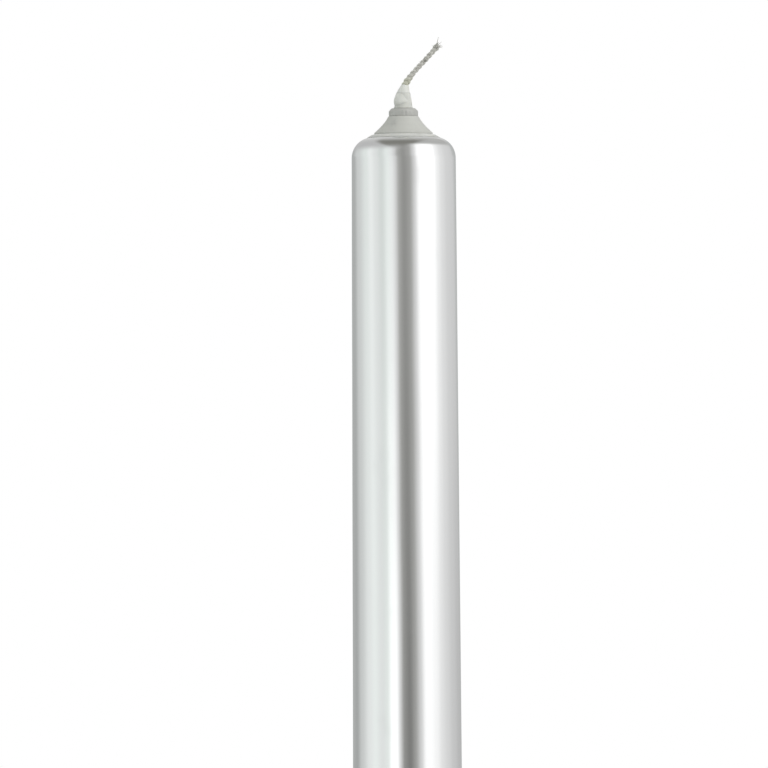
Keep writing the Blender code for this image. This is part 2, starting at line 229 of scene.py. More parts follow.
@dataclass
class Stock:
    """The material that one piece is shaped from: points and faces, gathered until it is finished."""

    points: list[Vector] = field(default_factory=list)
    faces: list[tuple[int, ...]] = field(default_factory=list)

    def turn(self, outline: Outline, sides: int, shaper: Shaper | None = None) -> None:
        """Adds a solid of revolution.

        Args:
            outline: A closed outline that runs down the outer side. A point on the axis ends it.
            sides: How many flats go round.
            shaper: Gives a point's radius from its angle, radius and height.
        """
        rings: list[list[int]] = []
        for r, z in outline:
            if r < TINY:
                rings.append([self._add(Vector((0.0, 0.0, z)))] * sides)
                continue
            ring = []
            for i in range(sides):
                a = 2 * math.pi * i / sides
                near = shaper(a, r, z) if shaper else r
                ring.append(self._add(Vector((near * math.cos(a), near * math.sin(a), z))))
            rings.append(ring)
        for low, high in zip(rings, rings[1:] + rings[:1]):
            self._bridge(low, high)

    def sweep(self, line: Sequence[Vector], radii: Sequence[float], sides: int) -> None:
        """Adds a round bar with flat ends along a line.

        Args:
            line: The bar's centre line.
            radii: Its radius at each point.
            sides: How many flats go round.
        """
        first = (line[1] - line[0]).normalized()
        side = first.cross(Vector((0.3, 1.0, 0.2))).normalized()
        rings = []
        for point, radius, (u, v) in zip(line, radii, frames_along(line, side)):
            turns = [2 * math.pi * i / sides for i in range(sides)]
            rings.append([self._add(point + (u * math.cos(a) + v * math.sin(a)) * radius) for a in turns])
        for low, high in zip(rings, rings[1:]):
            self._bridge(low, high)
        self.faces.append(tuple(reversed(rings[0])))
        self.faces.append(tuple(rings[-1]))

    def finish(self, name: str, axis: Axis = Axis.UPRIGHT, sharp: float = 40.0) -> bpy.types.Object:
        """Makes the object.

        Args:
            name: The piece's name.
            axis: The axis that it was turned round.
            sharp: Edges that bend by more degrees than this stay crisp.

        Returns:
            The object, linked to the scene.
        """
        mesh = bpy.data.meshes.new(name)
        mesh.from_pydata(self.points, [], self.faces)
        shape = bmesh.new()
        shape.from_mesh(mesh)
        bmesh.ops.remove_doubles(shape, verts=shape.verts, dist=TINY)
        bmesh.ops.recalc_face_normals(shape, faces=shape.faces)
        shape.to_mesh(mesh)
        shape.free()
        if axis is Axis.ALONG_ROD:
            mesh.transform(Matrix.Rotation(math.pi / 2, 4, "Y"))
        mesh.shade_smooth()
        mesh.set_sharp_from_angle(angle=math.radians(sharp))
        made = bpy.data.objects.new(name, mesh)
        bpy.context.scene.collection.objects.link(made)
        return made

    def _add(self, point: Vector) -> int:
        """Keeps a point and gives its number."""
        self.points.append(point)
        return len(self.points) - 1

    def _bridge(self, low: Sequence[int], high: Sequence[int]) -> None:
        """Joins two rings with faces.

        Args:
            low: The numbers of one ring's points.
            high: The numbers of the next ring's points.
        """
        count = len(low)
        for i in range(count):
            j = (i + 1) % count
            corners = [low[i], low[j], high[j], high[i]]
            kept = [c for k, c in enumerate(corners) if c != corners[k - 1]]
            if len(kept) > 2:
                self.faces.append(tuple(kept))


def ribbed(outer: float, depth: float, ribs: int, span: tuple[float, float], run_out: float) -> Shaper:
    """Straight knurling on the outside of a turned piece.

    Args:
        outer: The radius of the surface that is knurled.
        depth: How deep the grooves are.
        ribs: How many ribs go round.
        span: The heights between which it is knurled.
        run_out: The length over which the grooves fade at both ends.

    Returns:
        A shaper for Stock.turn.
    """

    def shape(angle: float, r: float, z: float) -> float:
        """Knurls one point.

        Args:
            angle: Its angle round the axis.
            r: Its radius before knurling.
            z: Its height along the axis.

        Returns:
            Its radius after knurling.
        """
        ends = min(1.0, max(0.0, (z - span[0]) / run_out), max(0.0, (span[1] - z) / run_out))
        skin = min(1.0, max(0.0, 1 - (outer - r) / (2 * depth)))
        groove = 0.5 - 0.5 * math.cos(ribs * angle)
        return r - depth * ends * skin * groove**0.7

    return shape


def turned(
    name: str,
    outline: Outline,
    sides: int,
    shaper: Shaper | None = None,
    axis: Axis = Axis.UPRIGHT,
    sharp: float = 40.0,
) -> bpy.types.Object:
    """Turns a piece from one outline.

    Args:
        name: The piece's name.
        outline: Its closed outline.
        sides: How many flats go round.
        shaper: Gives a point's radius from its angle, radius and height.
        axis: The axis that it is turned round.
        sharp: Edges that bend by more degrees than this stay crisp.

    Returns:
        The piece.
    """
    stock = Stock()
    stock.turn(outline, sides, shaper)
    return stock.finish(name, axis, sharp)


# ---------------------------------------------------------------------------------------------
# Finishes
# ---------------------------------------------------------------------------------------------


class NodeSheet:
    """Lays out the shader nodes of a finish or of the surroundings."""

    def __init__(self, tree: bpy.types.NodeTree) -> None:
        """Starts with an empty tree."""
        self.tree = tree
        tree.nodes.clear()

    def add(self, kind: str, **settings: object) -> bpy.types.Node:
        """Adds a node.

        Args:
            kind: The node's type.
            settings: Its properties and their values.

        Returns:
            The node.
        """
        node = self.tree.nodes.new(kind)
        for key, value in settings.items():
            setattr(node, key, value)
        return node

    def link(self, source: object, target: bpy.types.NodeSocket) -> None:
        """Joins a socket to an input, or sets the input to a plain value.

        Args:
            source: The socket or the value.
            target: The input.
        """
        if isinstance(source, bpy.types.NodeSocket):
            self.tree.links.new(source, target)
        else:
            target.default_value = source

    def sum(self, operation: str, *values: object) -> bpy.types.NodeSocket:
        """Works out a sum of any kind.

        Args:
            operation: What it does, such as MULTIPLY.
            values: Sockets or numbers, in order.

        Returns:
            The result's socket.
        """
        node = self.add("ShaderNodeMath", operation=operation)
        for value, target in zip(values, node.inputs):
            self.link(value, target)
        return node.outputs[0]

    def length(self, one: object, other: object) -> bpy.types.NodeSocket:
        """The length of a line, from its reach in two directions square to each other."""
        squares = (self.sum("MULTIPLY", reach, reach) for reach in (one, other))
        return self.sum("SQRT", self.sum("ADD", *squares))

    def between(
        self, value: object, low: object, high: object, out: tuple[float, float] = (0.0, 1.0)
    ) -> bpy.types.NodeSocket:
        """Maps a value smoothly from one range to another.

        Args:
            value: The value's socket.
            low: Where the range starts, as a number or a socket.
            high: Where it ends.
            out: The values that it is mapped to.

        Returns:
            The result's socket.
        """
        node = self.add("ShaderNodeMapRange", interpolation_type="SMOOTHSTEP")
        for source, name in zip(
            (value, low, high, *out), ("Value", "From Min", "From Max", "To Min", "To Max")
        ):
            self.link(source, node.inputs[name])
        return node.outputs["Result"]

    def blend(self, share: object, first: object, second: object) -> bpy.types.NodeSocket:
        """Mixes two colours.

        Args:
            share: How much of the second there is, from 0 to 1.
            first: The first colour.
            second: The second colour.

        Returns:
            The mixed colour's socket.
        """
        node = self.add("ShaderNodeMix", data_type="RGBA")
        colours = [c if isinstance(c, bpy.types.NodeSocket) else (*c, 1.0) for c in (first, second)]
        # The node's colour sockets come after its number and vector ones.
        for source, target in zip((share, *colours), (node.inputs[0], node.inputs[6], node.inputs[7])):
            self.link(source, target)
        return node.outputs[2]

    def over(self, tone: object, colour: Colour, cover: object, strength: float) -> bpy.types.NodeSocket:
        """Lays a colour over a tone.

        Args:
            tone: The tone underneath.
            colour: The colour on top.
            cover: Where it covers the tone, from 0 to 1.
            strength: How strongly it covers it there.

        Returns:
            The new tone's socket.
        """
        return self.blend(self.sum("MULTIPLY", cover, strength), tone, colour)

    def grain(
        self, size: float, stretch: Spot = (1.0, 1.0, 1.0), detail: float = 3.0, rough: float = 0.5
    ) -> bpy.types.NodeSocket:
        """Noise fixed to the piece.

        Args:
            size: The size of its features, in metres.
            stretch: How much longer they are along each axis.
            detail: How many finer layers it has.
            rough: How strong the finer layers are.

        Returns:
            The noise's value, about 0.5 on average.
        """
        place = self.add("ShaderNodeTexCoord").outputs["Object"]
        scaled = self.add("ShaderNodeMapping")
        self.link(place, scaled.inputs["Vector"])
        scaled.inputs["Scale"].default_value = [1 / (size * s) for s in stretch]
        node = self.add("ShaderNodeTexNoise")
        self.link(scaled.outputs[0], node.inputs["Vector"])
        for name, value in (("Scale", 1.0), ("Detail", detail), ("Roughness", rough)):
            node.inputs[name].default_value = value
        return node.outputs["Fac"]

    def patches(
        self,
        span: tuple[float, float],
        size: float,
        stretch: Spot = (1.0, 1.0, 1.0),
        detail: float = 3.0,
        rough: float = 0.5,
    ) -> bpy.types.NodeSocket:
        """Patches fixed to the piece, with bare surface between them.

        Args:
            span: The noise value where a patch starts, and the one where it is full.
            size: The size of the patches, in metres.
            stretch: How much longer they are along each axis.
            detail: How many finer layers their outline has.
            rough: How strong the finer layers are.

        Returns:
            1 in a patch and 0 between patches.
        """
        return self.between(self.grain(size, stretch, detail, rough), *span)

    def position(self) -> tuple[bpy.types.NodeSocket, ...]:
        """The place of a point on the piece.

        Returns:
            Its x, y and z sockets.
        """
        place = self.add("ShaderNodeTexCoord").outputs["Object"]
        parts = self.add("ShaderNodeSeparateXYZ")
        self.link(place, parts.inputs[0])
        return tuple(parts.outputs)

    def near(self, centre: Spot, radius: float) -> bpy.types.NodeSocket:
        """A soft round spot on the piece.

        Args:
            centre: The spot's centre.
            radius: Its radius.

        Returns:
            1 round its centre, fading to 0 at its radius.
        """
        place = self.add("ShaderNodeTexCoord").outputs["Object"]
        node = self.add("ShaderNodeVectorMath", operation="DISTANCE")
        self.link(place, node.inputs[0])
        self.link(centre, node.inputs[1])
        return self.between(node.outputs["Value"], radius, radius * 0.25)

    def bump(self, height: object, depth: float, under: object = None) -> bpy.types.NodeSocket:
        """Relief on the surface.

        Args:
            height: The relief, from 0 to 1.
            depth: Its depth in metres.
            under: A coarser relief that it lies on.

        Returns:
            The normal's socket.
        """
        node = self.add("ShaderNodeBump")
        node.inputs["Distance"].default_value = depth
        self.link(height, node.inputs["Height"])
        if under is not None:
            self.link(under, node.inputs["Normal"])
        return node.outputs[0]

    def shader(self, **inputs: object) -> None:
        """Ends the tree with a Principled shader.

        Args:
            inputs: Values or sockets by input name, with underscores for spaces.
        """
        surface = self.add("ShaderNodeBsdfPrincipled")
        for name, value in inputs.items():
            self.link(value, surface.inputs[name.replace("_", " ")])
        end = self.add("ShaderNodeOutputMaterial")
        self.link(surface.outputs[0], end.inputs["Surface"])


@dataclass(frozen=True)
class Finish:
    """What a surface looks like. Each kind of finish paints its own nodes."""

    name: str
    slot: Slot
    colour: Colour

    def material(self) -> bpy.types.Material:
        """Makes the finish's material, once.

        Returns:
            The material.
        """
        found = bpy.data.materials.get(self.name)
        if found:
            return found
        made = bpy.data.materials.new(self.name)
        made.use_nodes = True
        self.paint(NodeSheet(made.node_tree))
        return made

    def paint(self, sheet: NodeSheet) -> None:
        """Lays out the finish's nodes on a sheet."""
        raise NotImplementedError

    def shade(self, amount: float) -> Colour:
        """The finish's colour, darkened to a share of itself."""
        return tuple(c * amount for c in self.colour)


@dataclass(frozen=True)
class DrawnMetal(Finish):
    """Metal drawn and polished to a soft mirror, with fine lines along it and a few smears of wax."""

    gloss: float = 0.1
    line_size: float = 0.25 * MM
    line_stretch: float = 60.0

    def paint(self, sheet: NodeSheet) -> None:
        """Lays out the finish's nodes.

        Args:
            sheet: Where the nodes go.
        """
        lines = sheet.grain(self.line_size, (1.0, 1.0, self.line_stretch), 2.0)
        ripple = sheet.grain(7 * MM, (1.0, 1.0, 5.0), 1.0)
        smears = sheet.patches((0.55, 0.75), 9 * MM, (1.0, 1.0, 2.2), 4.0, 0.62)
        specks = sheet.patches((0.7, 0.78), 0.9 * MM, (1.0, 1.0, 1.5), 2.0)
        tone = sheet.blend(sheet.between(ripple, 0.3, 0.7), self.shade(0.985), self.colour)
        tone = sheet.over(tone, self.shade(0.94), smears, 0.35)
        dull = sheet.sum("MULTIPLY_ADD", smears, 0.07, self.gloss)
        dull = sheet.sum("MULTIPLY_ADD", lines, 0.05, dull)
        dull = sheet.sum("MULTIPLY_ADD", specks, 0.05, dull)
        wave = sheet.bump(ripple, 0.02 * MM)
        relief = sheet.bump(lines, 0.0016 * MM, wave)
        sheet.shader(Base_Color=tone, Metallic=1.0, Roughness=dull, Normal=relief)


@dataclass(frozen=True)
class LatheMetal(Finish):
    """Metal finished on a lathe: fine rings round its axis, dulled in patches by wax."""

    gloss: float = 0.3
    ring_size: float = 0.12 * MM
    ring_depth: float = 0.002 * MM
    ring_spread: float = 40.0
    axis: Axis = Axis.UPRIGHT
    film: float = 0.2
    bare: float = 0.42
    film_colour: Colour = (0.72, 0.72, 0.69)

    def paint(self, sheet: NodeSheet) -> None:
        """Lays out the finish's nodes.

        Args:
            sheet: Where the nodes go.
        """
        spread = self.ring_spread
        stretch = (spread, spread, 1.0) if self.axis is Axis.UPRIGHT else (1.0, spread, spread)
        rings = sheet.grain(self.ring_size, stretch, 2.0, 0.6)
        broad = sheet.grain(self.ring_size * 9, stretch, 2.0)
        patches = sheet.patches((self.bare, self.bare + 0.28), 4 * MM, detail=5.0, rough=0.6)
        waxed = sheet.sum("MULTIPLY", patches, self.film)
        tone = sheet.blend(sheet.between(broad, 0.35, 0.65), self.shade(0.95), self.colour)
        tone = sheet.blend(waxed, tone, self.film_colour)
        dull = sheet.sum("MULTIPLY_ADD", rings, 0.12, self.gloss - 0.06)
        dull = sheet.sum("MULTIPLY_ADD", waxed, 0.35, dull)
        metal = sheet.sum("SUBTRACT", 1.0, sheet.sum("MULTIPLY", waxed, 0.8))
        relief = sheet.bump(rings, self.ring_depth, sheet.bump(broad, self.ring_depth))
        sheet.shader(Base_Color=tone, Metallic=metal, Roughness=dull, Normal=relief)


@dataclass(frozen=True)
class MouldedRubber(Finish):
    """Black moulded rubber, matt, with a fine grain, a bloom of dust and worn edges."""

    def paint(self, sheet: NodeSheet) -> None:
        """Lays out the finish's nodes.

        Args:
            sheet: Where the nodes go.
        """
        skin = sheet.grain(0.14 * MM)
        bloom = sheet.patches((0.48, 0.72), 4 * MM, detail=6.0, rough=0.7)
        scuffs = sheet.patches((0.62, 0.76), 0.6 * MM, (4.0, 4.0, 1.0))
        lint = sheet.patches((0.69, 0.74), 0.4 * MM)
        tone = sheet.over(self.colour, (0.06, 0.06, 0.058), bloom, 0.55)
        tone = sheet.over(tone, (0.09, 0.09, 0.088), scuffs, 0.4)
        tone = sheet.over(tone, (0.28, 0.27, 0.25), lint, 0.35)
        dull = sheet.sum("MULTIPLY_ADD", bloom, 0.22, 0.42)
        sheet.shader(
            Base_Color=tone, Roughness=dull, Specular_IOR_Level=0.35, Normal=sheet.bump(skin, 0.02 * MM)
        )


@dataclass(frozen=True)
class SoftTranslucent(Finish):
    """Silicone or wax: milky, a little light passes through it."""

    depth: float = 0.8 * MM
    gloss: float = 0.38
    mottle: float = 1.2 * MM
    relief: float = 0.03 * MM
    # Heights over which painted shade fades out upwards: darkest below the first, none above the second.
    painted_shade_span: tuple[float, float] = (0.0, 0.0)

    def paint(self, sheet: NodeSheet) -> None:
        """Lays out the finish's nodes. Below the given heights the colour is darkened as painted shade,
        for the contact shadow where the piece meets its seat.

        Args:
            sheet: Where the nodes go.
        """
        cloud = sheet.grain(self.mottle, detail=4.0, rough=0.6)
        dents = sheet.grain(self.mottle * 0.4, detail=2.0)
        tone = sheet.blend(sheet.between(cloud, 0.3, 0.7), self.shade(0.9), self.colour)
        # Painted shade: the colour darkens towards the bottom, in place of the contact shadow at the seat.
        if self.painted_shade_span[1]:
            tone = sheet.blend(sheet.between(sheet.position()[2], *self.painted_shade_span), self.shade(0.6), tone)
        dull = sheet.sum("MULTIPLY_ADD", cloud, 0.2, self.gloss - 0.1)
        sheet.shader(
            Base_Color=tone,
            Roughness=dull,
            Subsurface_Weight=0.5,
            Subsurface_Radius=(1.0, 0.95, 0.85),
            Subsurface_Scale=self.depth,
            Normal=sheet.bump(dents, self.relief),
        )


@dataclass(frozen=True)
class WaxedCotton(Finish):
    """Braided cotton stiffened with wax: greyish white, yellowed by wax low down, with flecks of soot.

    A fleck is its centre, its radius and its strength. The wax is yellow from the second of the waxed
    heights to the third, and fades out by the first and the fourth. All are in millimetres from the
    tip's datum.
    """

    datum: float = 254 * MM
    waxed: tuple[float, float, float, float] = (11.5, 12.4, 13.0, 14.6)
    flecks: tuple[tuple[float, float, float, float, float], ...] = (
        (2.35, -0.4, 15.3, 0.5, 0.3),
        (3.75, -0.55, 16.7, 0.45, 0.35),
        (4.6, -0.8, 17.5, 0.5, 1.0),
        (5.4, -0.8, 18.5, 0.45, 0.45),
        (6.85, -0.8, 20.25, 0.6, 0.7),
    )
    speck_colour: Colour = (0.07, 0.07, 0.055)
    yellowed: Colour = (0.5, 0.505, 0.41)

    def paint(self, sheet: NodeSheet) -> None:
        """Lays out the finish's nodes.

        Args:
            sheet: Where the nodes go.
        """
        fibre = sheet.grain(0.05 * MM, (1.0, 1.0, 6.0), 3.0, 0.7)
        soil = sheet.patches((0.38, 0.66), 2.2 * MM)
        specks = sheet.patches((0.62, 0.72), 0.35 * MM, detail=2.0)
        tone = sheet.blend(sheet.between(fibre, 0.3, 0.7), self.shade(0.82), self.colour)
        tone = sheet.over(tone, self.shade(0.72), soil, 0.35)
        height = sheet.position()[2]
        foot, low, high, end = (self.datum + z * MM for z in self.waxed)
        yellow = sheet.sum("MULTIPLY", sheet.between(height, foot, low), sheet.between(height, end, high))
        tone = sheet.blend(yellow, tone, self.yellowed)
        tone = sheet.over(tone, self.shade(0.35), specks, 0.5)
        for x, y, z, radius, strength in self.flecks:
            fleck = sheet.near((x * MM, y * MM, self.datum + z * MM), radius * MM)
            tone = sheet.over(tone, self.speck_colour, fleck, strength)
        sheet.shader(
            Base_Color=tone,
            Roughness=sheet.sum("MULTIPLY_ADD", fibre, 0.2, 0.62),
            Sheen_Weight=0.25,
            Normal=sheet.bump(fibre, 0.03 * MM),
        )


TUBE_FINISH = DrawnMetal("drawn_polished_aluminium", Slot.POLISHED, (0.91, 0.915, 0.915))
DISH_FINISH = LatheMetal("spun_dish_aluminium", Slot.SPUN, (0.83, 0.835, 0.835), gloss=0.24, film=0.07)
CONE_FINISH = LatheMetal(
    "satin_cone_aluminium",
    Slot.SATIN,
    (0.68, 0.685, 0.66),
    gloss=0.44,
    film=0.75,
    bare=0.2,
    film_colour=(0.52, 0.525, 0.49),
)
NUT_FINISH = LatheMetal(
    "turned_nut_aluminium",
    Slot.TURNED,
    (0.56, 0.565, 0.55),
    gloss=0.38,
    film=0.55,
    bare=0.2,
    film_colour=(0.5, 0.5, 0.47),
)
KNOB_FINISH = LatheMetal(
    "turned_knob_aluminium",
    Slot.TURNED,
    (0.72, 0.725, 0.72),
    gloss=0.26,
    ring_depth=0.0008 * MM,
    axis=Axis.ALONG_ROD,
    film=0.05,
)
ROD_FINISH = LatheMetal(
    "bright_rod_steel", Slot.STEEL, (0.62, 0.625, 0.63), gloss=0.2, axis=Axis.ALONG_ROD, film=0.1
)
RUBBER_FINISH = MouldedRubber("moulded_black_rubber", Slot.RUBBER, (0.014, 0.014, 0.015))
SILICONE_FINISH = SoftTranslucent("milky_silicone", Slot.SILICONE, (0.60, 0.61, 0.57))
# The gasket's lower edge gets painted shade, for the dark line where it meets the tube's seat.
GASKET_FINISH = SoftTranslucent(
    "grey_silicone", Slot.SILICONE, (0.55, 0.555, 0.53), gloss=0.5, painted_shade_span=(254.95 * MM, 255.6 * MM)
)
WAX_FINISH = SoftTranslucent(
    "wick_wax", Slot.COTTON, (0.7, 0.71, 0.67), depth=0.7 * MM, mottle=1.6 * MM, relief=0.012 * MM
)
WICK_FINISH = WaxedCotton("waxed_cotton_braid", Slot.COTTON, (0.58, 0.575, 0.53))


@dataclass
class Piece:
    """One finished piece: what it is made of, what it rides on and which solids it stands for."""

    made: bpy.types.Object
    finish: Finish
    body: Body
    stands_for: tuple[str, ...] = ()

    def fit(self) -> None:
        """Gives the piece its material and fits it to its body."""
        self.made.data.materials.clear()
        self.made.data.materials.append(self.finish.material())
        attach(self.made, self.body.value)
        if self.stands_for:
            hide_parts(*self.stands_for)
        LOG.info("%s: %d faces, on %s", self.made.name, len(self.made.data.polygons), self.body.value)


# ---------------------------------------------------------------------------------------------
# The mold
# ---------------------------------------------------------------------------------------------


@dataclass
class MoldTube:
    """The drawn tube: a polished wall, a rounded shoulder with a seat for the cone, and a rolled rim.

    Its datum is the height that the tip's sizes are measured from, and its mouth the open end's height.
    """

    datum: float
    mouth: float
    wall: float = 0.8 * MM
    shoulder: float = 4.4 * MM
    shoulder_drop: float = 3.05 * MM
    seat_height: float = 1.15 * MM
    hole_radius: float = 5.4 * MM
    bead: float = 1.0 * MM
    bore: float = 11.1 * MM
    draft: float = 0.215
    ripple: float = 0.018 * MM
    ripple_size: float = 11 * MM
    sides: int = 160

    @classmethod
    def from_frame(cls) -> "MoldTube":
        """The tube at the heights that the frame gives."""
        low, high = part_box("mold_tube")
        return cls(high.z - cls.seat_height, low.z)

    def outer(self, z: float) -> float:
        """The tube's outer radius at a height, which shrinks upwards by the draft's degrees."""
        return self.bore + self.wall - (z - self.mouth) * math.tan(math.radians(self.draft))

    def build(self) -> bpy.types.Object:
        """Turns the tube, with the slight ripple that drawing leaves in its wall.

        Returns:
            The tube.
        """
        start = self.datum - self.shoulder_drop
        centre = (self.outer(start) - self.shoulder, start)
        seat = self.datum + self.seat_height
        rise = seat - start
        inner = self.shoulder - self.wall
        turn = math.degrees(math.asin(rise / self.shoulder))
        inner_turn = math.degrees(math.asin((rise - self.wall) / inner))
        bead = (self.outer(self.mouth) + self.bead, self.mouth + self.bead)
        outside = [(self.hole_radius, seat - 0.1 * MM), (self.hole_radius + 0.1 * MM, seat)]
        outside += arc(centre, self.shoulder, turn, 0, 32)
        outside += arc(bead, self.bead, 168, -90, 20)
        inside = [(self.bore + 0.05 * MM, self.mouth), (self.bore, self.mouth + 0.25 * MM)]
        inside += arc(centre, inner, 0, inner_turn, 12)
        inside.append((self.hole_radius, seat - self.wall))
        outline = divided(outside + inside, 2.5 * MM)
        return turned("mold_tube_drawn", outline, self.sides, self._rippled, sharp=50)

    def dress(self, made: bpy.types.Object) -> Piece:
        """Gives the tube its polish."""
        return Piece(made, TUBE_FINISH, Body.MOLD, ("mold_tube",))

    def _rippled(self, angle: float, r: float, z: float) -> float:
        """Ripples one point of the wall.

        Args:
            angle: Its angle round the axis.
            r: Its radius before.
            z: Its height.

        Returns:
            Its radius with the ripple.
        """
        on_wall = min(1.0, max(0.0, (self.datum - 4 * MM - z) / (6 * MM)))
        place = Vector((r * math.cos(angle), r * math.sin(angle), z * 0.35)) / self.ripple_size
        return r + self.ripple * on_wall * noise.noise(place)


@dataclass
class Plait:
    """A three-strand plait of twisted yarns, as candle wick is made."""

    width: float = 0.24 * MM
    thickness: float = 0.13 * MM
    strand: float = 0.345 * MM
    pitch: float = 3.1 * MM
    strands: int = 3
    yarns: int = 3
    yarn_share: float = 0.6
    yarn_pitch: float = 1.2 * MM

    def lay(
        self,
        stock: Stock,
        line: Sequence[Vector],
        side: Vector,
        fine: bool,
        sides: int,
        swell: Sequence[float] = (),
    ) -> list[list[Vector]]:
        """Plaits along a line.

        Args:
            stock: What the plait is added to.
            line: The plait's centre line, evenly spaced.
            side: The direction of its broad side.
            fine: True to make every yarn, and False to make each strand as one.
            sides: How many flats go round a yarn.
            swell: The plait's scale at each point, or nothing for 1 throughout.

        Returns:
            The centre line of each yarn or strand.
        """
        frames = frames_along(line, side)
        step = (line[1] - line[0]).length
        laid = []
        parts = self.yarns if fine else 1
        yarn = self.strand * (self.yarn_share if fine else 1.0)
        for s in range(self.strands):
            for y in range(parts):
                route: list[Vector] = []
                radii: list[float] = []
                for i, (point, (u, v)) in enumerate(zip(line, frames)):
                    scale = swell[i] if swell else 1.0
                    turn = 2 * math.pi * (i * step / self.pitch + s / self.strands)
                    centre = u * (self.width * math.sin(turn)) + v * (self.thickness * math.sin(2 * turn))
                    if fine:
                        spin = 2 * math.pi * (i * step / self.yarn_pitch + y / parts)
                        centre += (u * math.cos(spin) + v * math.sin(spin)) * (self.strand - yarn)
                    route.append(point + centre * scale)
                    radii.append(yarn * scale)
                stock.sweep(route, radii, sides)
                laid.append(route)
        return laid


@dataclass
class Wick:
    """The wick: plaited cotton up the bore and through the seal, with a bent, frayed end.

    Its route is in millimetres from the tip's datum.
    """

    datum: float
    start: float
    plait: Plait = field(default_factory=Plait)
    seed: int = 7
    fuzz: int = 90
    tuft: int = 7
    route: tuple[Spot, ...] = (
        (0.0, 0.0, 9.2),
        (0.0, 0.0, 10.4),
        (0.08, -0.02, 11.4),
        (0.42, -0.08, 12.5),
        (1.2, -0.2, 13.7),
        (2.2, -0.35, 15.0),
        (3.4, -0.45, 16.3),
        (4.65, -0.55, 17.6),
        (5.75, -0.6, 18.8),
        (6.6, -0.65, 19.75),
        (7.15, -0.7, 20.45),
    )
    top: float = 22.5 * MM

    def place(self, point: Iterable[float]) -> Vector:
        """A point of the route, in the frame."""
        x, y, z = point
        return Vector((x * MM, y * MM, z * MM + self.datum))

    def build(self) -> bpy.types.Object:
        """Plaits the wick and frays its end.

        Returns:
            The wick.
        """
        stock = Stock()
        bend = [self.place(p) for p in self.route]
        low = [Vector((0, 0, self.start)).lerp(bend[0], t) for t in shares(40)]
        hidden = curve_through(low, 0.45 * MM)
        self.plait.lay(stock, hidden, Vector((1, 0, 0)), fine=False, sides=7)
        shown = curve_through(bend, 0.09 * MM)
        swollen = [self._swell(point.z - self.datum) for point in shown]
        yarns = self.plait.lay(stock, shown, Vector((0.8, 0.6, 0)), fine=True, sides=7, swell=swollen)
        chance = random.Random(self.seed)
        for yarn in yarns:
            self._fray(stock, yarn[-1], (yarn[-1] - yarn[-6]).normalized(), chance)
        end = shown[-1]
        thread = [end + Vector((0.1 * t + 0.25 * t * t, 0.1 * t, 2.0 * t)) * MM for t in shares(8)]
        stock.sweep(thread, [(0.1 - 0.05 * t) * MM for t in shares(8)], 6)
        for _ in range(self.fuzz):
            self._loose_fibre(stock, chance.choice(yarns), chance)
        return stock.finish("wick_braided", sharp=70)

    def dress(self, made: bpy.types.Object) -> Piece:
        """Gives the wick its waxed cotton."""
        return Piece(made, WICK_FINISH, Body.TIP, ("wick",))

    def _swell(self, height: float) -> float:
        """How much thicker the plait is where wax swells it low down, and where its end comes loose.

        Args:
            height: The height above the tip's datum.

        Returns:
            The plait's scale.
        """
        waxed = max(0.0, 1 - abs(height / MM - 12.8) / 2.6)
        loose = max(0.0, height / MM - 19.5)
        return 1.03 + 0.36 * waxed * waxed * (3 - 2 * waxed) + 0.35 * loose

    def _fray(self, stock: Stock, root: Vector, ahead: Vector, chance: random.Random) -> None:
        """Opens one yarn's end into a tuft of fibres that lean apart, most of them to the right.

        Args:
            stock: What the fibres are added to.
            root: The yarn's end.
            ahead: The direction that the yarn runs in there.
            chance: Where the random draws come from.
        """
        for _ in range(self.tuft):
            spread = ((-0.5, 1.0), (-0.6, 0.6), (-0.5, 0.4))
            lean = Vector([chance.uniform(*span) for span in spread])
            length = chance.uniform(0.35, 0.95) * MM
            line = []
            for t in shares(6):
                point = root - ahead * 0.15 * MM + (ahead * t + lean * t * t * 0.75) * length
                point.z = min(point.z, self.datum + self.top - 0.05 * MM)
                line.append(point)
            stock.sweep(line, [0.1 * MM * (1 - 0.7 * t) for t in shares(6)], 5)

    def _loose_fibre(self, stock: Stock, yarn: Sequence[Vector], chance: random.Random) -> None:
        """Lets one thin fibre stand off the plait, above the wax.

        Args:
            stock: What the fibre is added to.
            yarn: The centre line of the yarn that it comes from.
            chance: Where the random draws come from.
        """
        k = chance.randrange(len(yarn) * 2 // 5, len(yarn) - 4)
        ahead = (yarn[k + 3] - yarn[k]).normalized()
        away = Vector([chance.uniform(-1, 1) for _ in range(3)]).cross(ahead).normalized()
        length = chance.uniform(0.3, 0.9) * MM
        line = [yarn[k] + (ahead * t + away * t * t * 0.6) * length for t in shares(5)]
        stock.sweep(line, [0.02 * MM] * 6, 4)


@dataclass
class WaxFoot:
    """The wax that has crept up the wick above the seal.

    A ring is its centre's x and height, and its radius, in millimetres from the tip's datum.
    """

    wick: Wick
    rings: tuple[tuple[float, float, float], ...] = (
        (0.0, 8.1, 1.7),
        (-0.18, 8.8, 1.84),
        (-0.16, 9.6, 1.68),
        (-0.02, 10.4, 1.44),
        (0.14, 11.2, 1.2),
        (0.3, 11.8, 0.98),
        (0.4, 12.2, 0.84),
        (0.46, 12.45, 0.72),
    )

    def build(self) -> bpy.types.Object:
        """Sweeps the wax from the seal up to where the wick bends.

        Returns:
            The wax.
        """
        spots = [Vector((x, z, r)) for x, z, r in self.rings]
        smooth = curve_through(spots, 0.1)
        line = [self.wick.place((p.x, -0.05 - 0.12 * max(0.0, p.x), p.y)) for p in smooth]
        lumps = [noise.noise(point / (1.3 * MM)) for point in line]
        radii = [(p.z * (1 + 0.05 * lump)) * MM for p, lump in zip(smooth, lumps)]
        radii[0] *= 0.9
        radii[-1] *= 0.85
        stock = Stock()
        stock.sweep(line, radii, 40)
        return stock.finish("wick_wax_foot", sharp=60)

    def dress(self, made: bpy.types.Object) -> Piece:
        """Gives the wax its look."""
        return Piece(made, WAX_FINISH, Body.TIP)


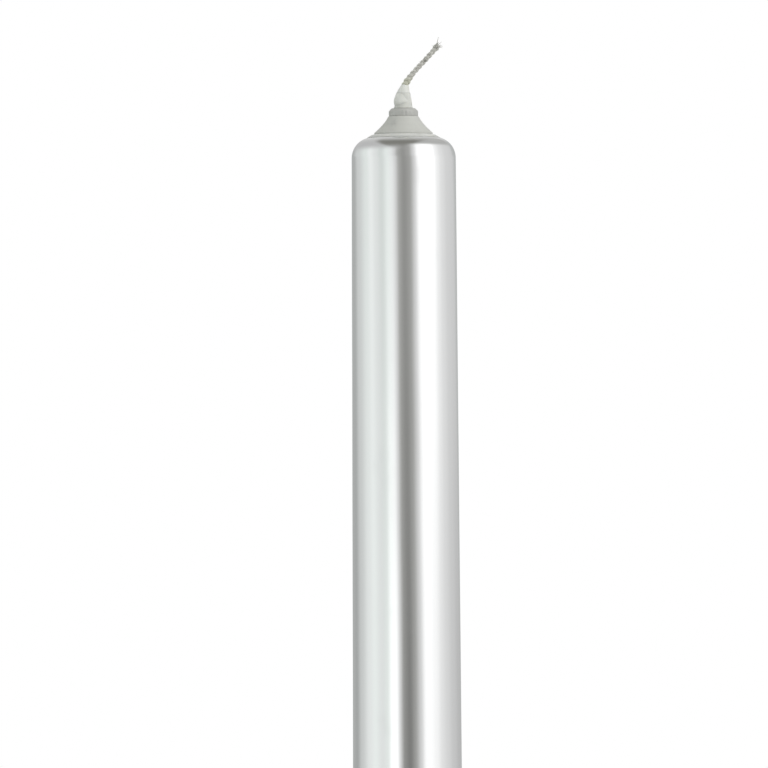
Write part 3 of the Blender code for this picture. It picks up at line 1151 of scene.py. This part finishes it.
@dataclass
class TipCone:
    """The hollow cone that shapes the candle's tip, its gasket, and the seal that grips the wick.

    The gasket's edge is given by radius and height, and the seal's sleeve by its corners, in
    millimetres from the datum.
    """

    datum: float
    flange: float = 6.2 * MM
    flange_z: float = 1.95 * MM
    side_z: float = 2.25 * MM
    top: float = 3.3 * MM
    top_z: float = 5.7 * MM
    neck: float = 2.1 * MM
    neck_z: float = 6.6 * MM
    flare: float = 1.35
    wall: float = 0.95 * MM
    spigot: float = 5.1 * MM
    spigot_z: float = 0.35 * MM
    wick_hole: float = 0.95 * MM
    gasket_edge: tuple[tuple[float, float], ...] = (
        (6.3, 1.95),
        (6.75, 1.84),
        (7.35, 1.5),
        (7.7, 1.26),
        (7.8, 1.17),
        (7.72, 1.12),
    )
    sleeve: tuple[Corner, ...] = (
        (0.7, 10.85, 0.08),
        (1.42, 10.88, 0.16),
        (1.55, 10.3, 0.3),
        (1.7, 9.4, 0.4),
        (1.86, 8.3, 0.4),
        (1.9, 7.75, 0.1),
        (2.04, 7.66, 0.06),
        (2.04, 7.5, 0.04),
        (1.88, 7.42, 0.04),
        (1.88, 6.92, 0.05),
        (0.7, 6.92, 0.0),
    )
    sides: int = 96

    def side(self, share: float) -> tuple[float, float]:
        """A point on the cone's side, from its flange at 0 to its top at 1."""
        r = self.top + (self.flange - self.top) * (1 - share) ** self.flare
        return r, self.datum + self.side_z + (self.top_z - self.side_z) * share

    def build_cone(self) -> bpy.types.Object:
        """Turns the cone, with its spigot below and its neck above.

        Returns:
            The cone.
        """
        z0 = self.datum
        side = [self.side(1 - t) for t in shares(20)]
        crisp = 0.03 * MM
        outside = eased(
            [
                (self.wick_hole, z0 + self.neck_z, 0.1 * MM),
                (self.neck, z0 + self.neck_z, 0.15 * MM),
                (self.neck, z0 + self.top_z + 0.05 * MM, 0.1 * MM),
                (self.top - 0.1 * MM, z0 + self.top_z + 0.05 * MM, 0.06 * MM),
            ],
            3,
        )
        outside += side[1:]
        outside += [(self.flange, z0 + self.flange_z + crisp), (self.flange - crisp, z0 + self.flange_z)]
        outside += [(self.spigot, z0 + self.flange_z), (self.spigot, z0 + self.spigot_z + 0.15 * MM)]
        outside.append((self.spigot - 0.15 * MM, z0 + self.spigot_z))
        inside = [(self.spigot - 0.3 * MM, z0 + self.spigot_z)]
        cavity = [(r - self.wall, z - self.wall / 2) for r, z in reversed(side)]
        inside += [(r, z) for r, z in cavity if r > 1.9 * MM]
        inside.append((self.wick_hole, z0 + self.top_z))
        return turned("tip_cone_turned", divided(outside + inside, 0.6 * MM), self.sides, sharp=42)

    def build_gasket(self) -> bpy.types.Object:
        """Turns the gasket, squeezed out a little between the cone and its seat.

        Returns:
            The gasket.
        """
        z0 = self.datum
        outline = [(5.15 * MM, z0 + self.flange_z)]
        outline += [(r * MM, z0 + z * MM) for r, z in self.gasket_edge]
        outline.append((5.45 * MM, z0 + 1.15 * MM))
        return turned("tip_gasket_ring", outline, self.sides, sharp=60)

    def build_seal(self) -> bpy.types.Object:
        """Turns the soft sleeve, with a bead at its foot and a thin lip at its top.

        Returns:
            The sleeve.
        """
        corners = [(r * MM, self.datum + z * MM, ease * MM) for r, z, ease in self.sleeve]
        return turned("wick_seal_sleeve", divided(eased(corners, 4), 0.4 * MM), 64, sharp=60)

    def dress(
        self, cone: bpy.types.Object, gasket: bpy.types.Object, seal: bpy.types.Object
    ) -> list[Piece]:
        """Gives the cone, the gasket and the seal their finishes.

        Args:
            cone: The cone.
            gasket: The gasket.
            seal: The soft sleeve.

        Returns:
            The pieces.
        """
        return [
            Piece(cone, CONE_FINISH, Body.TIP, ("tip_cone",)),
            Piece(gasket, GASKET_FINISH, Body.TIP, ("tip_gasket",)),
            Piece(seal, SILICONE_FINISH, Body.TIP, ("wick_seal",)),
        ]


@dataclass
class GlandNut:
    """The knurled nut that squeezes the seal round the wick."""

    datum: float
    radius: float = 3.1 * MM
    low: float = 5.77 * MM
    high: float = 7.45 * MM
    chamfer: float = 0.6 * MM
    ribs: int = 24
    depth: float = 0.08 * MM

    def build(self) -> bpy.types.Object:
        """Turns and knurls the nut.

        Returns:
            The nut.
        """
        z0 = self.datum
        corners = [
            (2.1 * MM, z0 + self.high, 0.08 * MM),
            (self.radius - self.chamfer, z0 + self.high, 0.1 * MM),
            (self.radius, z0 + self.high - self.chamfer, 0.2 * MM),
            (self.radius, z0 + self.low + 0.2 * MM, 0.1 * MM),
            (self.radius - 0.1 * MM, z0 + self.low, 0.06 * MM),
            (2.35 * MM, z0 + self.low, 0.05 * MM),
            (2.35 * MM, z0 + 6.88 * MM, 0.0),
            (2.1 * MM, z0 + 6.88 * MM, 0.0),
        ]
        span = (z0 + self.low - 0.1 * MM, z0 + self.high - 0.4 * MM)
        knurl = ribbed(self.radius, self.depth, self.ribs, span, 0.25 * MM)
        outline = divided(eased(corners, 4), 0.15 * MM)
        return turned("gland_nut_knurled", outline, self.ribs * 10, knurl, sharp=45)

    def dress(self, made: bpy.types.Object) -> Piece:
        """Gives the nut its finish."""
        return Piece(made, NUT_FINISH, Body.GLAND, ("gland_nut",))


@dataclass
class PouringDish:
    """The spun dish that the tube stands in, with its rubber rings, gasket and grommets."""

    tube: MoldTube
    top: float = 16.0 * MM
    radius: float = 28.0 * MM
    wall: float = 1.0 * MM
    floor: float = 1.2 * MM
    corner: float = 5.0 * MM
    bead: float = 1.5 * MM
    bead_z: float = 2.6 * MM
    neck: float = 12.2 * MM
    fillet: float = 3.0 * MM
    flare_z: float = 24.6 * MM
    flare: float = 2.2 * MM
    groove: float = 19.6 * MM
    groove_half: float = 0.5 * MM
    groove_depth: float = 0.22 * MM
    sides: int = 176

    def build_dish(self) -> bpy.types.Object:
        """Spins the dish, with a shallow stiffening groove in its top, and drills it for the rod.

        Returns:
            The dish.
        """
        wall_in = self.radius - self.wall
        bead = (wall_in + self.bead, self.bead_z)
        corner = (self.radius - self.corner, self.top - self.corner)
        neck_out = self.neck + self.wall
        fillet = (neck_out + self.fillet, self.top + self.fillet)
        lip = self.wall / math.sqrt(2)
        mouth = (self.neck + self.flare, self.flare_z + self.flare)
        outside = eased(
            [
                (*mouth, 0.35 * MM),
                (mouth[0] + lip, mouth[1] - lip, 0.35 * MM),
                (neck_out, self.flare_z - 0.4 * MM, 1.2 * MM),
                (neck_out, self.top + self.fillet, 0.0),
            ],
            5,
        )[:-1]
        outside += arc(fillet, self.fillet, 180, 270, 12)
        for t in shares(8):
            a = math.pi * (1 - t)
            r = self.groove + self.groove_half * math.cos(a)
            outside.append((r, self.top - self.groove_depth * math.sin(a)))
        outside += arc(corner, self.corner, 90, 0, 16)
        outside += arc(bead, self.bead, 109, -180, 24)
        inside = arc(corner, self.corner - self.wall, 0, 84, 10)
        under = self.top - self.floor
        inside += [(self.neck + 3 * MM, under), (self.neck + 0.3 * MM, under)]
        inside += [(self.neck, under + 0.3 * MM), (self.neck, self.flare_z)]
        outline = divided(outside + inside, 1.6 * MM)
        made = turned("pour_dish_spun", outline, self.sides, self._spun, sharp=45)
        self._drill(made)
        return made

    def build_gasket(self) -> bpy.types.Object:
        """Turns the flat ring between the dish's floor and the tube's rolled rim.

        Returns:
            The ring.
        """
        high = self.top - self.floor
        low = high - 1.28 * MM
        inner = self.tube.outer(low) + 0.02 * MM
        corners = [
            (inner, high, 0.1 * MM),
            (inner + 3.5 * MM, high, 0.2 * MM),
            (inner + 3.5 * MM, high - 0.95 * MM, 0.3 * MM),
            (inner + 2.0 * MM, low, 0.4 * MM),
            (inner, low, 0.1 * MM),
        ]
        return turned("dish_gasket_ring", eased(corners), 96)

    def build_neck_ring(self) -> bpy.types.Object:
        """Turns the round ring that wedges the dish to the tube, squeezed flat where it touches.

        Returns:
            The ring.
        """
        radius = 1.28 * MM
        sides = 36
        r = self.tube.outer(self.flare_z) + 1.22 * MM
        z = self.flare_z + (r - self.neck) + 1.75 * MM
        outline = []
        for i in range(sides):
            a = -2 * math.pi * i / sides
            near = max(r + radius * math.cos(a), self.tube.outer(z) + 0.01 * MM)
            outline.append((near, z + radius * math.sin(a)))
        return turned("neck_ring_rolled", outline, 128)

    def build_foot(self) -> bpy.types.Object:
        """Turns the rubber edging, which laps over the dish's bead and has a ribbed tread.

        Returns:
            The edging.
        """
        groove = self.bead + 0.03 * MM
        bead = (self.radius - self.wall + self.bead, self.bead_z)
        low, inner, outer = 0.0, 26.0 * MM, 31.0 * MM
        corners = [
            (outer - 0.42 * MM, self.bead_z + 0.35 * MM, 0.15 * MM),
            (outer, self.bead_z - 0.1 * MM, 0.3 * MM),
            (outer, low + 0.5 * MM, 0.3 * MM),
            (outer - 0.5 * MM, low, 0.2 * MM),
        ]
        outline = eased([*corners, (inner, low, 0.0)], 5)[:-1]
        for k in range(3):
            middle = outer - (1.35 + 1.05 * k) * MM
            deep = low + 0.22 * MM
            outline += [(middle + 0.2 * MM, low), (middle + 0.1 * MM, deep)]
            outline += [(middle - 0.1 * MM, deep), (middle - 0.2 * MM, low)]
        outline += [(inner + 0.5 * MM, low), (inner + 0.12 * MM, low + 0.14 * MM), (inner, low + 0.5 * MM)]
        outline += [(inner, self.bead_z - 0.45 * MM), (inner + 0.12 * MM, self.bead_z - 0.25 * MM)]
        outline += arc(bead, groove, 187, 370, 16)
        return turned("foot_ring_edging", outline, self.sides, sharp=38)

    def build_grommet(self, side: int) -> bpy.types.Object:
        """Turns one of the rod's grommets.

        Args:
            side: -1 for the left and 1 for the right.

        Returns:
            The grommet.
        """
        node = "rod_grommet_left" if side < 0 else "rod_grommet_right"
        low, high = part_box(node)
        near, far = sorted((abs(low.x), abs(high.x)))
        flange, body, bore = 3.7 * MM, 3.16 * MM, 1.72 * MM
        thick = 1.25 * MM
        corners = [
            (bore, far, 0.35 * MM),
            (flange - 0.55 * MM, far, 0.3 * MM),
            (flange, far - 0.4 * MM, 0.3 * MM),
            (flange, far - thick, 0.12 * MM),
            (body, far - thick, 0.05 * MM),
            (body, near + thick, 0.05 * MM),
            (flange, near + thick, 0.12 * MM),
            (flange, near + 0.4 * MM, 0.3 * MM),
            (flange - 0.55 * MM, near, 0.3 * MM),
            (bore, near, 0.35 * MM),
        ]
        made = turned(f"{node}_moulded", divided(eased(corners), 0.6 * MM), 64, axis=Axis.ALONG_ROD)
        place = Matrix.Translation((0, 0, ROD_HEIGHT))
        if side < 0:
            place = place @ Matrix.Rotation(math.pi, 4, "Z")
        made.data.transform(place)
        return made

    def dress(self, made: dict[str, bpy.types.Object]) -> list[Piece]:
        """Gives the dish and its rubber their finishes.

        Args:
            made: Each piece by the name of the solid that it stands for.

        Returns:
            The pieces.
        """
        pieces = []
        for node, piece in made.items():
            finish = DISH_FINISH if node == "pour_dish" else RUBBER_FINISH
            pieces.append(Piece(piece, finish, Body.MOLD, (node,)))
        return pieces

    def _spun(self, angle: float, r: float, z: float) -> float:
        """A point's radius, with the faint rings that the spinning tool leaves outside the bore."""
        return r + 0.006 * MM * math.sin(z / (0.5 * MM)) * (1 if r > self.neck + 0.5 * MM else 0)

    def _drill(self, made: bpy.types.Object) -> None:
        """Drills the two holes that the grommets sit in.

        Args:
            made: The dish.
        """
        reach, radius = self.radius * 1.2, 3.2 * MM
        bit = [(0, reach), (radius, reach), (radius, -reach), (0, -reach)]
        tool = turned("rod_drill", bit, 64, axis=Axis.ALONG_ROD)
        tool.data.transform(Matrix.Translation((0, 0, ROD_HEIGHT)))
        cut = made.modifiers.new("Drill", "BOOLEAN")
        cut.operation = "DIFFERENCE"
        cut.object = tool
        bpy.context.view_layer.update()
        drilled = made.evaluated_get(bpy.context.evaluated_depsgraph_get())
        mesh = bpy.data.meshes.new_from_object(drilled)
        made.modifiers.clear()
        made.data = mesh
        bpy.data.objects.remove(tool)


@dataclass
class WickRod:
    """The steel rod that the wick is tied to, with its knob and cross pin."""

    radius: float = 1.5 * MM
    reach: float = 41.0 * MM
    point: float = 2.5 * MM
    end: float = 36.5 * MM
    knob: float = 4.2 * MM
    knob_start: float = 29.9 * MM
    pin_x: float = 33.4 * MM
    ribs: int = 20

    def build_rod(self) -> bpy.types.Object:
        """Turns the rod, with a blunt point that finds the grommets.

        Returns:
            The rod.
        """
        tip = -self.reach
        taper, blend = tip + self.point + 0.3 * MM, 1.2 * MM
        outline = [(0.0, self.end), (self.radius - 0.1 * MM, self.end), (self.radius, self.end - 0.1 * MM)]
        outline.append((self.radius, taper))
        outline += arc((self.radius - blend, taper), blend, 0, -28, 5)
        outline += [(0.5 * MM, tip + 0.36 * MM), (0.38 * MM, tip + 0.16 * MM), (0.2 * MM, tip + 0.04 * MM)]
        outline.append((0.0, tip))
        return self._raised(turned("wick_rod_drawn", outline, 48, axis=Axis.ALONG_ROD, sharp=50))

    def build_knob(self) -> bpy.types.Object:
        """Turns and knurls the knob.

        Returns:
            The knob.
        """
        start, waist, bore = self.knob_start, 3.0 * MM, 1.52 * MM
        dimple, socket = self.reach - 0.12 * MM, self.end + 0.1 * MM
        corners = [
            (1.1 * MM, dimple, 0.1 * MM),
            (1.35 * MM, self.reach, 0.1 * MM),
            (self.knob - 1.1 * MM, self.reach, 0.3 * MM),
            (self.knob, self.reach - 0.9 * MM, 0.4 * MM),
            (self.knob, start + 5.7 * MM, 0.25 * MM),
            (self.knob - 0.5 * MM, start + 5.0 * MM, 0.15 * MM),
            (waist, start + 4.6 * MM, 0.35 * MM),
            (waist, start + 1.2 * MM, 0.25 * MM),
            (waist + 0.6 * MM, start + 0.7 * MM, 0.15 * MM),
            (waist + 0.6 * MM, start, 0.15 * MM),
            (bore, start, 0.12 * MM),
            (bore, socket, 0.0),
        ]
        outline = [(0.0, dimple), *divided(eased(corners, 4), 0.3 * MM), (0.0, socket)]
        span = (start + 5.2 * MM, self.reach - 0.3 * MM)
        knurl = ribbed(self.knob, 0.2 * MM, self.ribs, span, 0.45 * MM)
        return self._raised(
            turned("rod_knob_knurled", outline, self.ribs * 12, knurl, axis=Axis.ALONG_ROD, sharp=50)
        )

    def build_pin(self) -> bpy.types.Object:
        """Turns the cross pin, with domed ends that stand just proud of the knob's waist.

        Returns:
            The pin.
        """
        half, radius, crown = 3.06 * MM, 0.62 * MM, 0.22 * MM
        turns = [math.pi / 2 * t for t in shares(6)]
        dome = [(radius * math.sin(a), half - crown + crown * math.cos(a)) for a in turns]
        outline = dome + [(r, -z) for r, z in reversed(dome)]
        made = turned("knob_pin_domed", outline, 32, sharp=60)
        made.data.transform(Matrix.Translation((self.pin_x, 0, 0)) @ Matrix.Rotation(math.pi / 2, 4, "X"))
        return self._raised(made)

    def dress(self, rod: bpy.types.Object, knob: bpy.types.Object, pin: bpy.types.Object) -> list[Piece]:
        """Gives the rod, the knob and the pin their finishes.

        Args:
            rod: The rod.
            knob: The knob.
            pin: The cross pin.

        Returns:
            The pieces.
        """
        return [
            Piece(rod, ROD_FINISH, Body.ROD, ("wick_rod",)),
            Piece(knob, KNOB_FINISH, Body.ROD, ("rod_knob",)),
            Piece(pin, ROD_FINISH, Body.ROD, ("knob_pin",)),
        ]

    def _raised(self, made: bpy.types.Object) -> bpy.types.Object:
        """Puts a piece at the rod's height."""
        made.data.transform(Matrix.Translation((0, 0, ROD_HEIGHT)))
        return made


@dataclass
class TiedEnd:
    """The wick's lower end: a loop round the rod, an overhand knot on top and a short tail.

    The tail's places are in millimetres.
    """

    loop: float = 2.35 * MM
    knot_z: float = 12.9 * MM
    tail: tuple[Spot, ...] = (
        (-0.5, -0.6, 11.9),
        (-1.3, -0.9, 12.4),
        (-2.4, -1.5, 12.2),
        (-3.4, -2.2, 11.5),
        (-4.1, -2.8, 10.7),
    )
    plait: Plait = field(
        default_factory=lambda: Plait(width=0.3 * MM, thickness=0.15 * MM, strand=0.27 * MM)
    )

    def build(self) -> bpy.types.Object:
        """Plaits the loop, the knot and the tail as one run of wick.

        Returns:
            The tied end.
        """
        rod_z, knot_z, loop = ROD_HEIGHT / MM, self.knot_z / MM, self.loop / MM
        points = [Vector((0.25, 0.1, 15.0)), Vector((0.2, 0.1, 14.5))]
        for i in range(16):
            a = 2 * math.pi * (0.1 + i / 13)
            x = 0.95 * math.sin(a) + 0.35 * math.sin(2 * a)
            y = 0.85 * math.cos(a) - 0.35 * math.cos(2 * a)
            points.append(Vector((x, y, knot_z + 0.55 * math.sin(3 * a) + 0.5 - i / 16)))
        for t in shares(16):
            a = math.radians(65 - 310 * t)
            points.append(Vector((0.25 - 0.5 * t, loop * math.cos(a), rod_z + loop * math.sin(a))))
        points += [Vector(spot) for spot in self.tail]
        line = curve_through([p * MM for p in points], 0.14 * MM)
        stock = Stock()
        self.plait.lay(stock, line, Vector((1, 0, 0)), fine=False, sides=8)
        return stock.finish("wick_loop_tied", sharp=70)

    def dress(self, made: bpy.types.Object) -> Piece:
        """Gives the tied end its waxed cotton."""
        return Piece(made, WICK_FINISH, Body.MOLD, ("wick_loop",))


# ---------------------------------------------------------------------------------------------
# The studio
# ---------------------------------------------------------------------------------------------


BLACK: Colour = (0.0, 0.0, 0.0)
WHITE: Colour = (1.0, 1.0, 1.0)
COOL: Colour = (0.975, 1.0, 0.99)
MINT: Colour = (0.95, 1.0, 0.975)
WARM: Colour = (1.0, 1.0, 0.965)

# A direction's reach straight ahead is taken from this, so that nothing is divided by zero.
JUST_OVER_ONE = 1.0001


@dataclass(frozen=True)
class Strip:
    """One strip of the surroundings, as it lies across a polished tube seen from the front."""

    across: float
    light: float
    tint: Colour = WHITE


@dataclass
class Studio:
    """A pale floor, soft light, tall strips of light and shade round the table, and the camera."""

    datum: float
    frame_height: float = 162.4 * MM
    drop: float = 50.8 * MM
    aside: float = -4.46 * MM
    distance: float = 1.25
    roll: float = -0.35
    floor: float = 1.3
    lower_wall: Colour = (0.62, 0.62, 0.61)
    post: Colour = (0.27, 0.27, 0.265)
    corner: Colour = (0.52, 0.52, 0.52)
    roof: Colour = (0.22, 0.22, 0.2)
    roof_right: Colour = (0.46, 0.46, 0.45)
    ceiling: Colour = (0.66, 0.66, 0.65)
    above: tuple[Strip, ...] = (
        Strip(0.0, 0.44, COOL),
        Strip(0.03, 0.45, COOL),
        Strip(0.07, 0.66, COOL),
        Strip(0.15, 0.84, MINT),
        Strip(0.19, 0.92, COOL),
        Strip(0.24, 0.81, COOL),
        Strip(0.295, 0.72, MINT),
        Strip(0.355, 0.88, MINT),
        Strip(0.39, 0.86, COOL),
        Strip(0.425, 0.7),
        Strip(0.46, 0.39, WARM),
        Strip(0.505, 0.31, WARM),
        Strip(0.565, 0.38, WARM),
        Strip(0.61, 0.7),
        Strip(0.65, 1.15),
        Strip(0.7, 1.25),
        Strip(0.79, 1.2),
        Strip(0.83, 0.95),
        Strip(0.87, 0.8),
        Strip(0.92, 0.7),
        Strip(0.97, 0.67),
        Strip(1.0, 0.5, COOL),
    )
    below: tuple[Strip, ...] = (
        Strip(0.0, 0.44, COOL),
        Strip(0.03, 0.4, COOL),
        Strip(0.075, 0.62, COOL),
        Strip(0.15, 0.86, COOL),
        Strip(0.2, 0.94, MINT),
        Strip(0.26, 0.84, COOL),
        Strip(0.31, 0.9, MINT),
        Strip(0.355, 1.3, COOL),
        Strip(0.4, 1.25),
        Strip(0.425, 0.75),
        Strip(0.465, 0.28, WARM),
        Strip(0.52, 0.19, WARM),
        Strip(0.565, 0.34, WARM),
        Strip(0.62, 0.66),
        Strip(0.665, 1.1),
        Strip(0.705, 1.1),
        Strip(0.76, 0.98),
        Strip(0.81, 0.8),
        Strip(0.86, 0.71),
        Strip(0.92, 0.6),
        Strip(0.97, 0.5),
        Strip(1.0, 0.44, COOL),
    )

    def build(self) -> None:
        """Sets up the floor, the lights, the surroundings and the camera."""
        self._floor()
        self._lamp("overhead", Vector((0.15, -0.2, 1.1)), Vector((0, 0, 0.05)), size=1.1, watts=4.5)
        self._lamp("side", Vector((1.0, -0.4, 0.65)), Vector((0, 0, 0.14)), size=0.5, watts=2.6)
        self._surroundings()
        self._camera()

    def _floor(self) -> None:
        """Lays a round pale floor that polished metal doesn't mirror, plain white at its edge."""
        sides, height = 96, -0.2 * MM
        turns = [2 * math.pi * i / sides for i in range(sides)]
        edge = [Vector((self.floor * math.cos(a), self.floor * math.sin(a), height)) for a in turns]
        floor = Stock(edge, [tuple(range(sides))]).finish("studio_floor")
        floor.visible_glossy = False
        paint = bpy.data.materials.new("pale_floor")
        paint.use_nodes = True
        sheet = NodeSheet(paint.node_tree)
        x, y, _ = sheet.position()
        rim = sheet.between(sheet.length(x, y), self.floor * 0.25, self.floor * 0.9)
        tone = sheet.blend(sheet.grain(30 * MM, detail=4.0), (0.74, 0.74, 0.73), (0.76, 0.76, 0.75))
        sheet.shader(
            Base_Color=sheet.blend(rim, tone, BLACK),
            Roughness=0.8,
            Specular_IOR_Level=0.0,
            Emission_Color=sheet.blend(rim, BLACK, WHITE),
            Emission_Strength=1.0,
        )
        floor.data.materials.append(paint)

    def _lamp(self, name: str, place: Vector, target: Vector, size: float, watts: float) -> None:
        """Adds a soft lamp that polished metal doesn't mirror.

        Args:
            name: The lamp's name.
            place: Where it is.
            target: What it points at.
            size: Its width.
            watts: Its power.
        """
        lamp = bpy.data.lights.new(name, "AREA")
        lamp.shape = "DISK"
        lamp.size = size
        lamp.energy = watts
        made = bpy.data.objects.new(name, lamp)
        made.location = place
        made.rotation_euler = (target - place).to_track_quat("-Z", "Y").to_euler()
        made.visible_glossy = False
        bpy.context.scene.collection.objects.link(made)

    def _surroundings(self) -> None:
        """Paints the world: white to look at, with light and shade for metal to mirror."""
        world = bpy.data.worlds.new("studio")
        bpy.context.scene.world = world
        world.use_nodes = True
        sheet = NodeSheet(world.node_tree)
        parts = sheet.add("ShaderNodeSeparateXYZ")
        sheet.link(sheet.add("ShaderNodeTexCoord").outputs["Generated"], parts.inputs[0])
        way = tuple(parts.outputs)
        seen = self._walls(sheet, way)
        seen = self._posts(sheet, way, seen)
        seen = self._roof(sheet, way, seen)
        view = sheet.add("ShaderNodeLightPath").outputs["Is Camera Ray"]
        light = sheet.add("ShaderNodeBackground")
        sheet.link(sheet.blend(view, seen, WHITE), light.inputs["Color"])
        end = sheet.add("ShaderNodeOutputWorld")
        sheet.link(light.outputs[0], end.inputs["Surface"])

    def _walls(self, sheet: NodeSheet, way: Sequence[bpy.types.NodeSocket]) -> bpy.types.NodeSocket:
        """Stands the strips round the table, where an upright tube seen from the front mirrors them.

        Args:
            sheet: Where the nodes go.
            way: The x, y and z of a direction.

        Returns:
            The light from that direction.
        """
        x, y, z = way
        ahead = sheet.sum("SUBTRACT", JUST_OVER_ONE, y)
        across = sheet.sum("MULTIPLY_ADD", sheet.sum("DIVIDE", x, sheet.length(x, ahead)), 0.5, 0.5)
        level = sheet.sum("MINIMUM", sheet.sum("MAXIMUM", z, -0.1), 0.1)
        across = sheet.sum("MULTIPLY_ADD", level, 0.2, across)
        low, high = (self._strips(sheet, across, strips) for strips in (self.below, self.above))
        walls = sheet.blend(sheet.between(z, -0.07, 0.05), low, high)
        return sheet.blend(sheet.between(z, -0.25, -0.9), walls, self.lower_wall)

    def _posts(
        self, sheet: NodeSheet, way: Sequence[bpy.types.NodeSocket], seen: bpy.types.NodeSocket
    ) -> bpy.types.NodeSocket:
        """Stands three dark posts low down, so that the tube also looks round from above.

        Args:
            sheet: Where the nodes go.
            way: The x, y and z of a direction.
            seen: The light so far.

        Returns:
            The light with the posts in it.
        """
        x, y, z = way
        turn = sheet.sum("MULTIPLY_ADD", sheet.sum("ARCTAN2", x, y), 3.0, 0.9)
        posts = sheet.between(sheet.sum("COSINE", turn), 0.6, 0.95)
        posts = sheet.sum("MULTIPLY", posts, sheet.between(z, -0.12, -0.24))
        return sheet.blend(posts, seen, self.post)

    def _roof(
        self, sheet: NodeSheet, way: Sequence[bpy.types.NodeSocket], seen: bpy.types.NodeSocket
    ) -> bpy.types.NodeSocket:
        """Hangs a dark roof round a pale ceiling, for the tube's rounded shoulder to mirror.

        Args:
            sheet: Where the nodes go.
            way: The x, y and z of a direction.
            seen: The light so far.

        Returns:
            The light with the roof in it.
        """
        x, y, z = way
        ahead = sheet.sum("SUBTRACT", JUST_OVER_ONE, y)
        tilt = sheet.sum("DIVIDE", z, sheet.sum("SQRT", sheet.sum("MULTIPLY", ahead, 2.0)))
        corner = sheet.sum("MULTIPLY", sheet.between(tilt, 0.3, 0.62), sheet.between(x, 0.05, -0.2))
        seen = sheet.blend(corner, seen, self.corner)
        lean = sheet.sum("MULTIPLY_ADD", x, 0.6, z)
        eaves = sheet.between(x, -0.1, 0.15, (0.36, 0.54))
        roof = sheet.sum("MULTIPLY", sheet.between(tilt, eaves, 0.68), sheet.between(lean, 0.48, 0.66))
        dark = sheet.blend(sheet.between(x, 0.2, 0.4), self.roof, self.roof_right)
        seen = sheet.blend(roof, seen, dark)
        return sheet.blend(sheet.between(tilt, 0.72, 0.98), seen, self.ceiling)

    def _strips(self, sheet: NodeSheet, across: object, strips: Sequence[Strip]) -> bpy.types.NodeSocket:
        """Spreads strips of light across the surroundings.

        Args:
            sheet: Where the nodes go.
            across: How far across the surroundings a direction is, from 0 to 1.
            strips: The strips, in order.

        Returns:
            The light's colour.
        """
        ramp = sheet.add("ShaderNodeValToRGB")
        sheet.link(across, ramp.inputs[0])
        stops = ramp.color_ramp
        stops.interpolation = "EASE"
        while len(stops.elements) < len(strips):
            stops.elements.new(0.5)
        for stop, strip in zip(stops.elements, strips):
            stop.position = strip.across
            stop.color = (*(strip.light * c for c in strip.tint), 1.0)
        return ramp.outputs[0]

    def _camera(self) -> None:
        """Sets a long lens level with the upper part of the tube, so that the dish is out of view."""
        camera = bpy.data.cameras.new("front")
        camera.sensor_width = 36.0
        camera.lens = camera.sensor_width * self.distance / self.frame_height
        camera.clip_start = 0.01
        camera.clip_end = 20.0
        made = bpy.data.objects.new("front", camera)
        made.location = (self.aside, -self.distance, self.datum - self.drop)
        made.rotation_mode = "QUATERNION"
        level = Vector((0, 1, 0)).to_track_quat("-Z", "Y")
        made.rotation_quaternion = level @ Quaternion((0, 0, 1), math.radians(self.roll))
        bpy.context.scene.collection.objects.link(made)
        bpy.context.scene.camera = made


def main() -> None:
    """Builds, dresses and fits every piece, then lights the scene."""
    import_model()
    bpy.context.scene.view_settings.view_transform = "Standard"

    tube = MoldTube.from_frame()
    datum = tube.datum
    wick = Wick(datum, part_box("wick")[0].z)
    wax = WaxFoot(wick)
    cone = TipCone(datum)
    nut = GlandNut(datum)
    dish = PouringDish(tube)
    rod = WickRod()
    tied = TiedEnd()

    dish_parts = {
        "pour_dish": dish.build_dish(),
        "dish_gasket": dish.build_gasket(),
        "neck_ring": dish.build_neck_ring(),
        "foot_ring": dish.build_foot(),
        "rod_grommet_left": dish.build_grommet(-1),
        "rod_grommet_right": dish.build_grommet(1),
    }
    pieces = [
        tube.dress(tube.build()),
        *cone.dress(cone.build_cone(), cone.build_gasket(), cone.build_seal()),
        nut.dress(nut.build()),
        wick.dress(wick.build()),
        wax.dress(wax.build()),
        *dish.dress(dish_parts),
        *rod.dress(rod.build_rod(), rod.build_knob(), rod.build_pin()),
        tied.dress(tied.build()),
    ]
    for piece in pieces:
        piece.fit()
    Studio(datum).build()

    bpy.context.view_layer.update()


if __name__ == "__main__":
    logging.basicConfig(level=logging.INFO, format="%(name)s %(message)s")
    main()
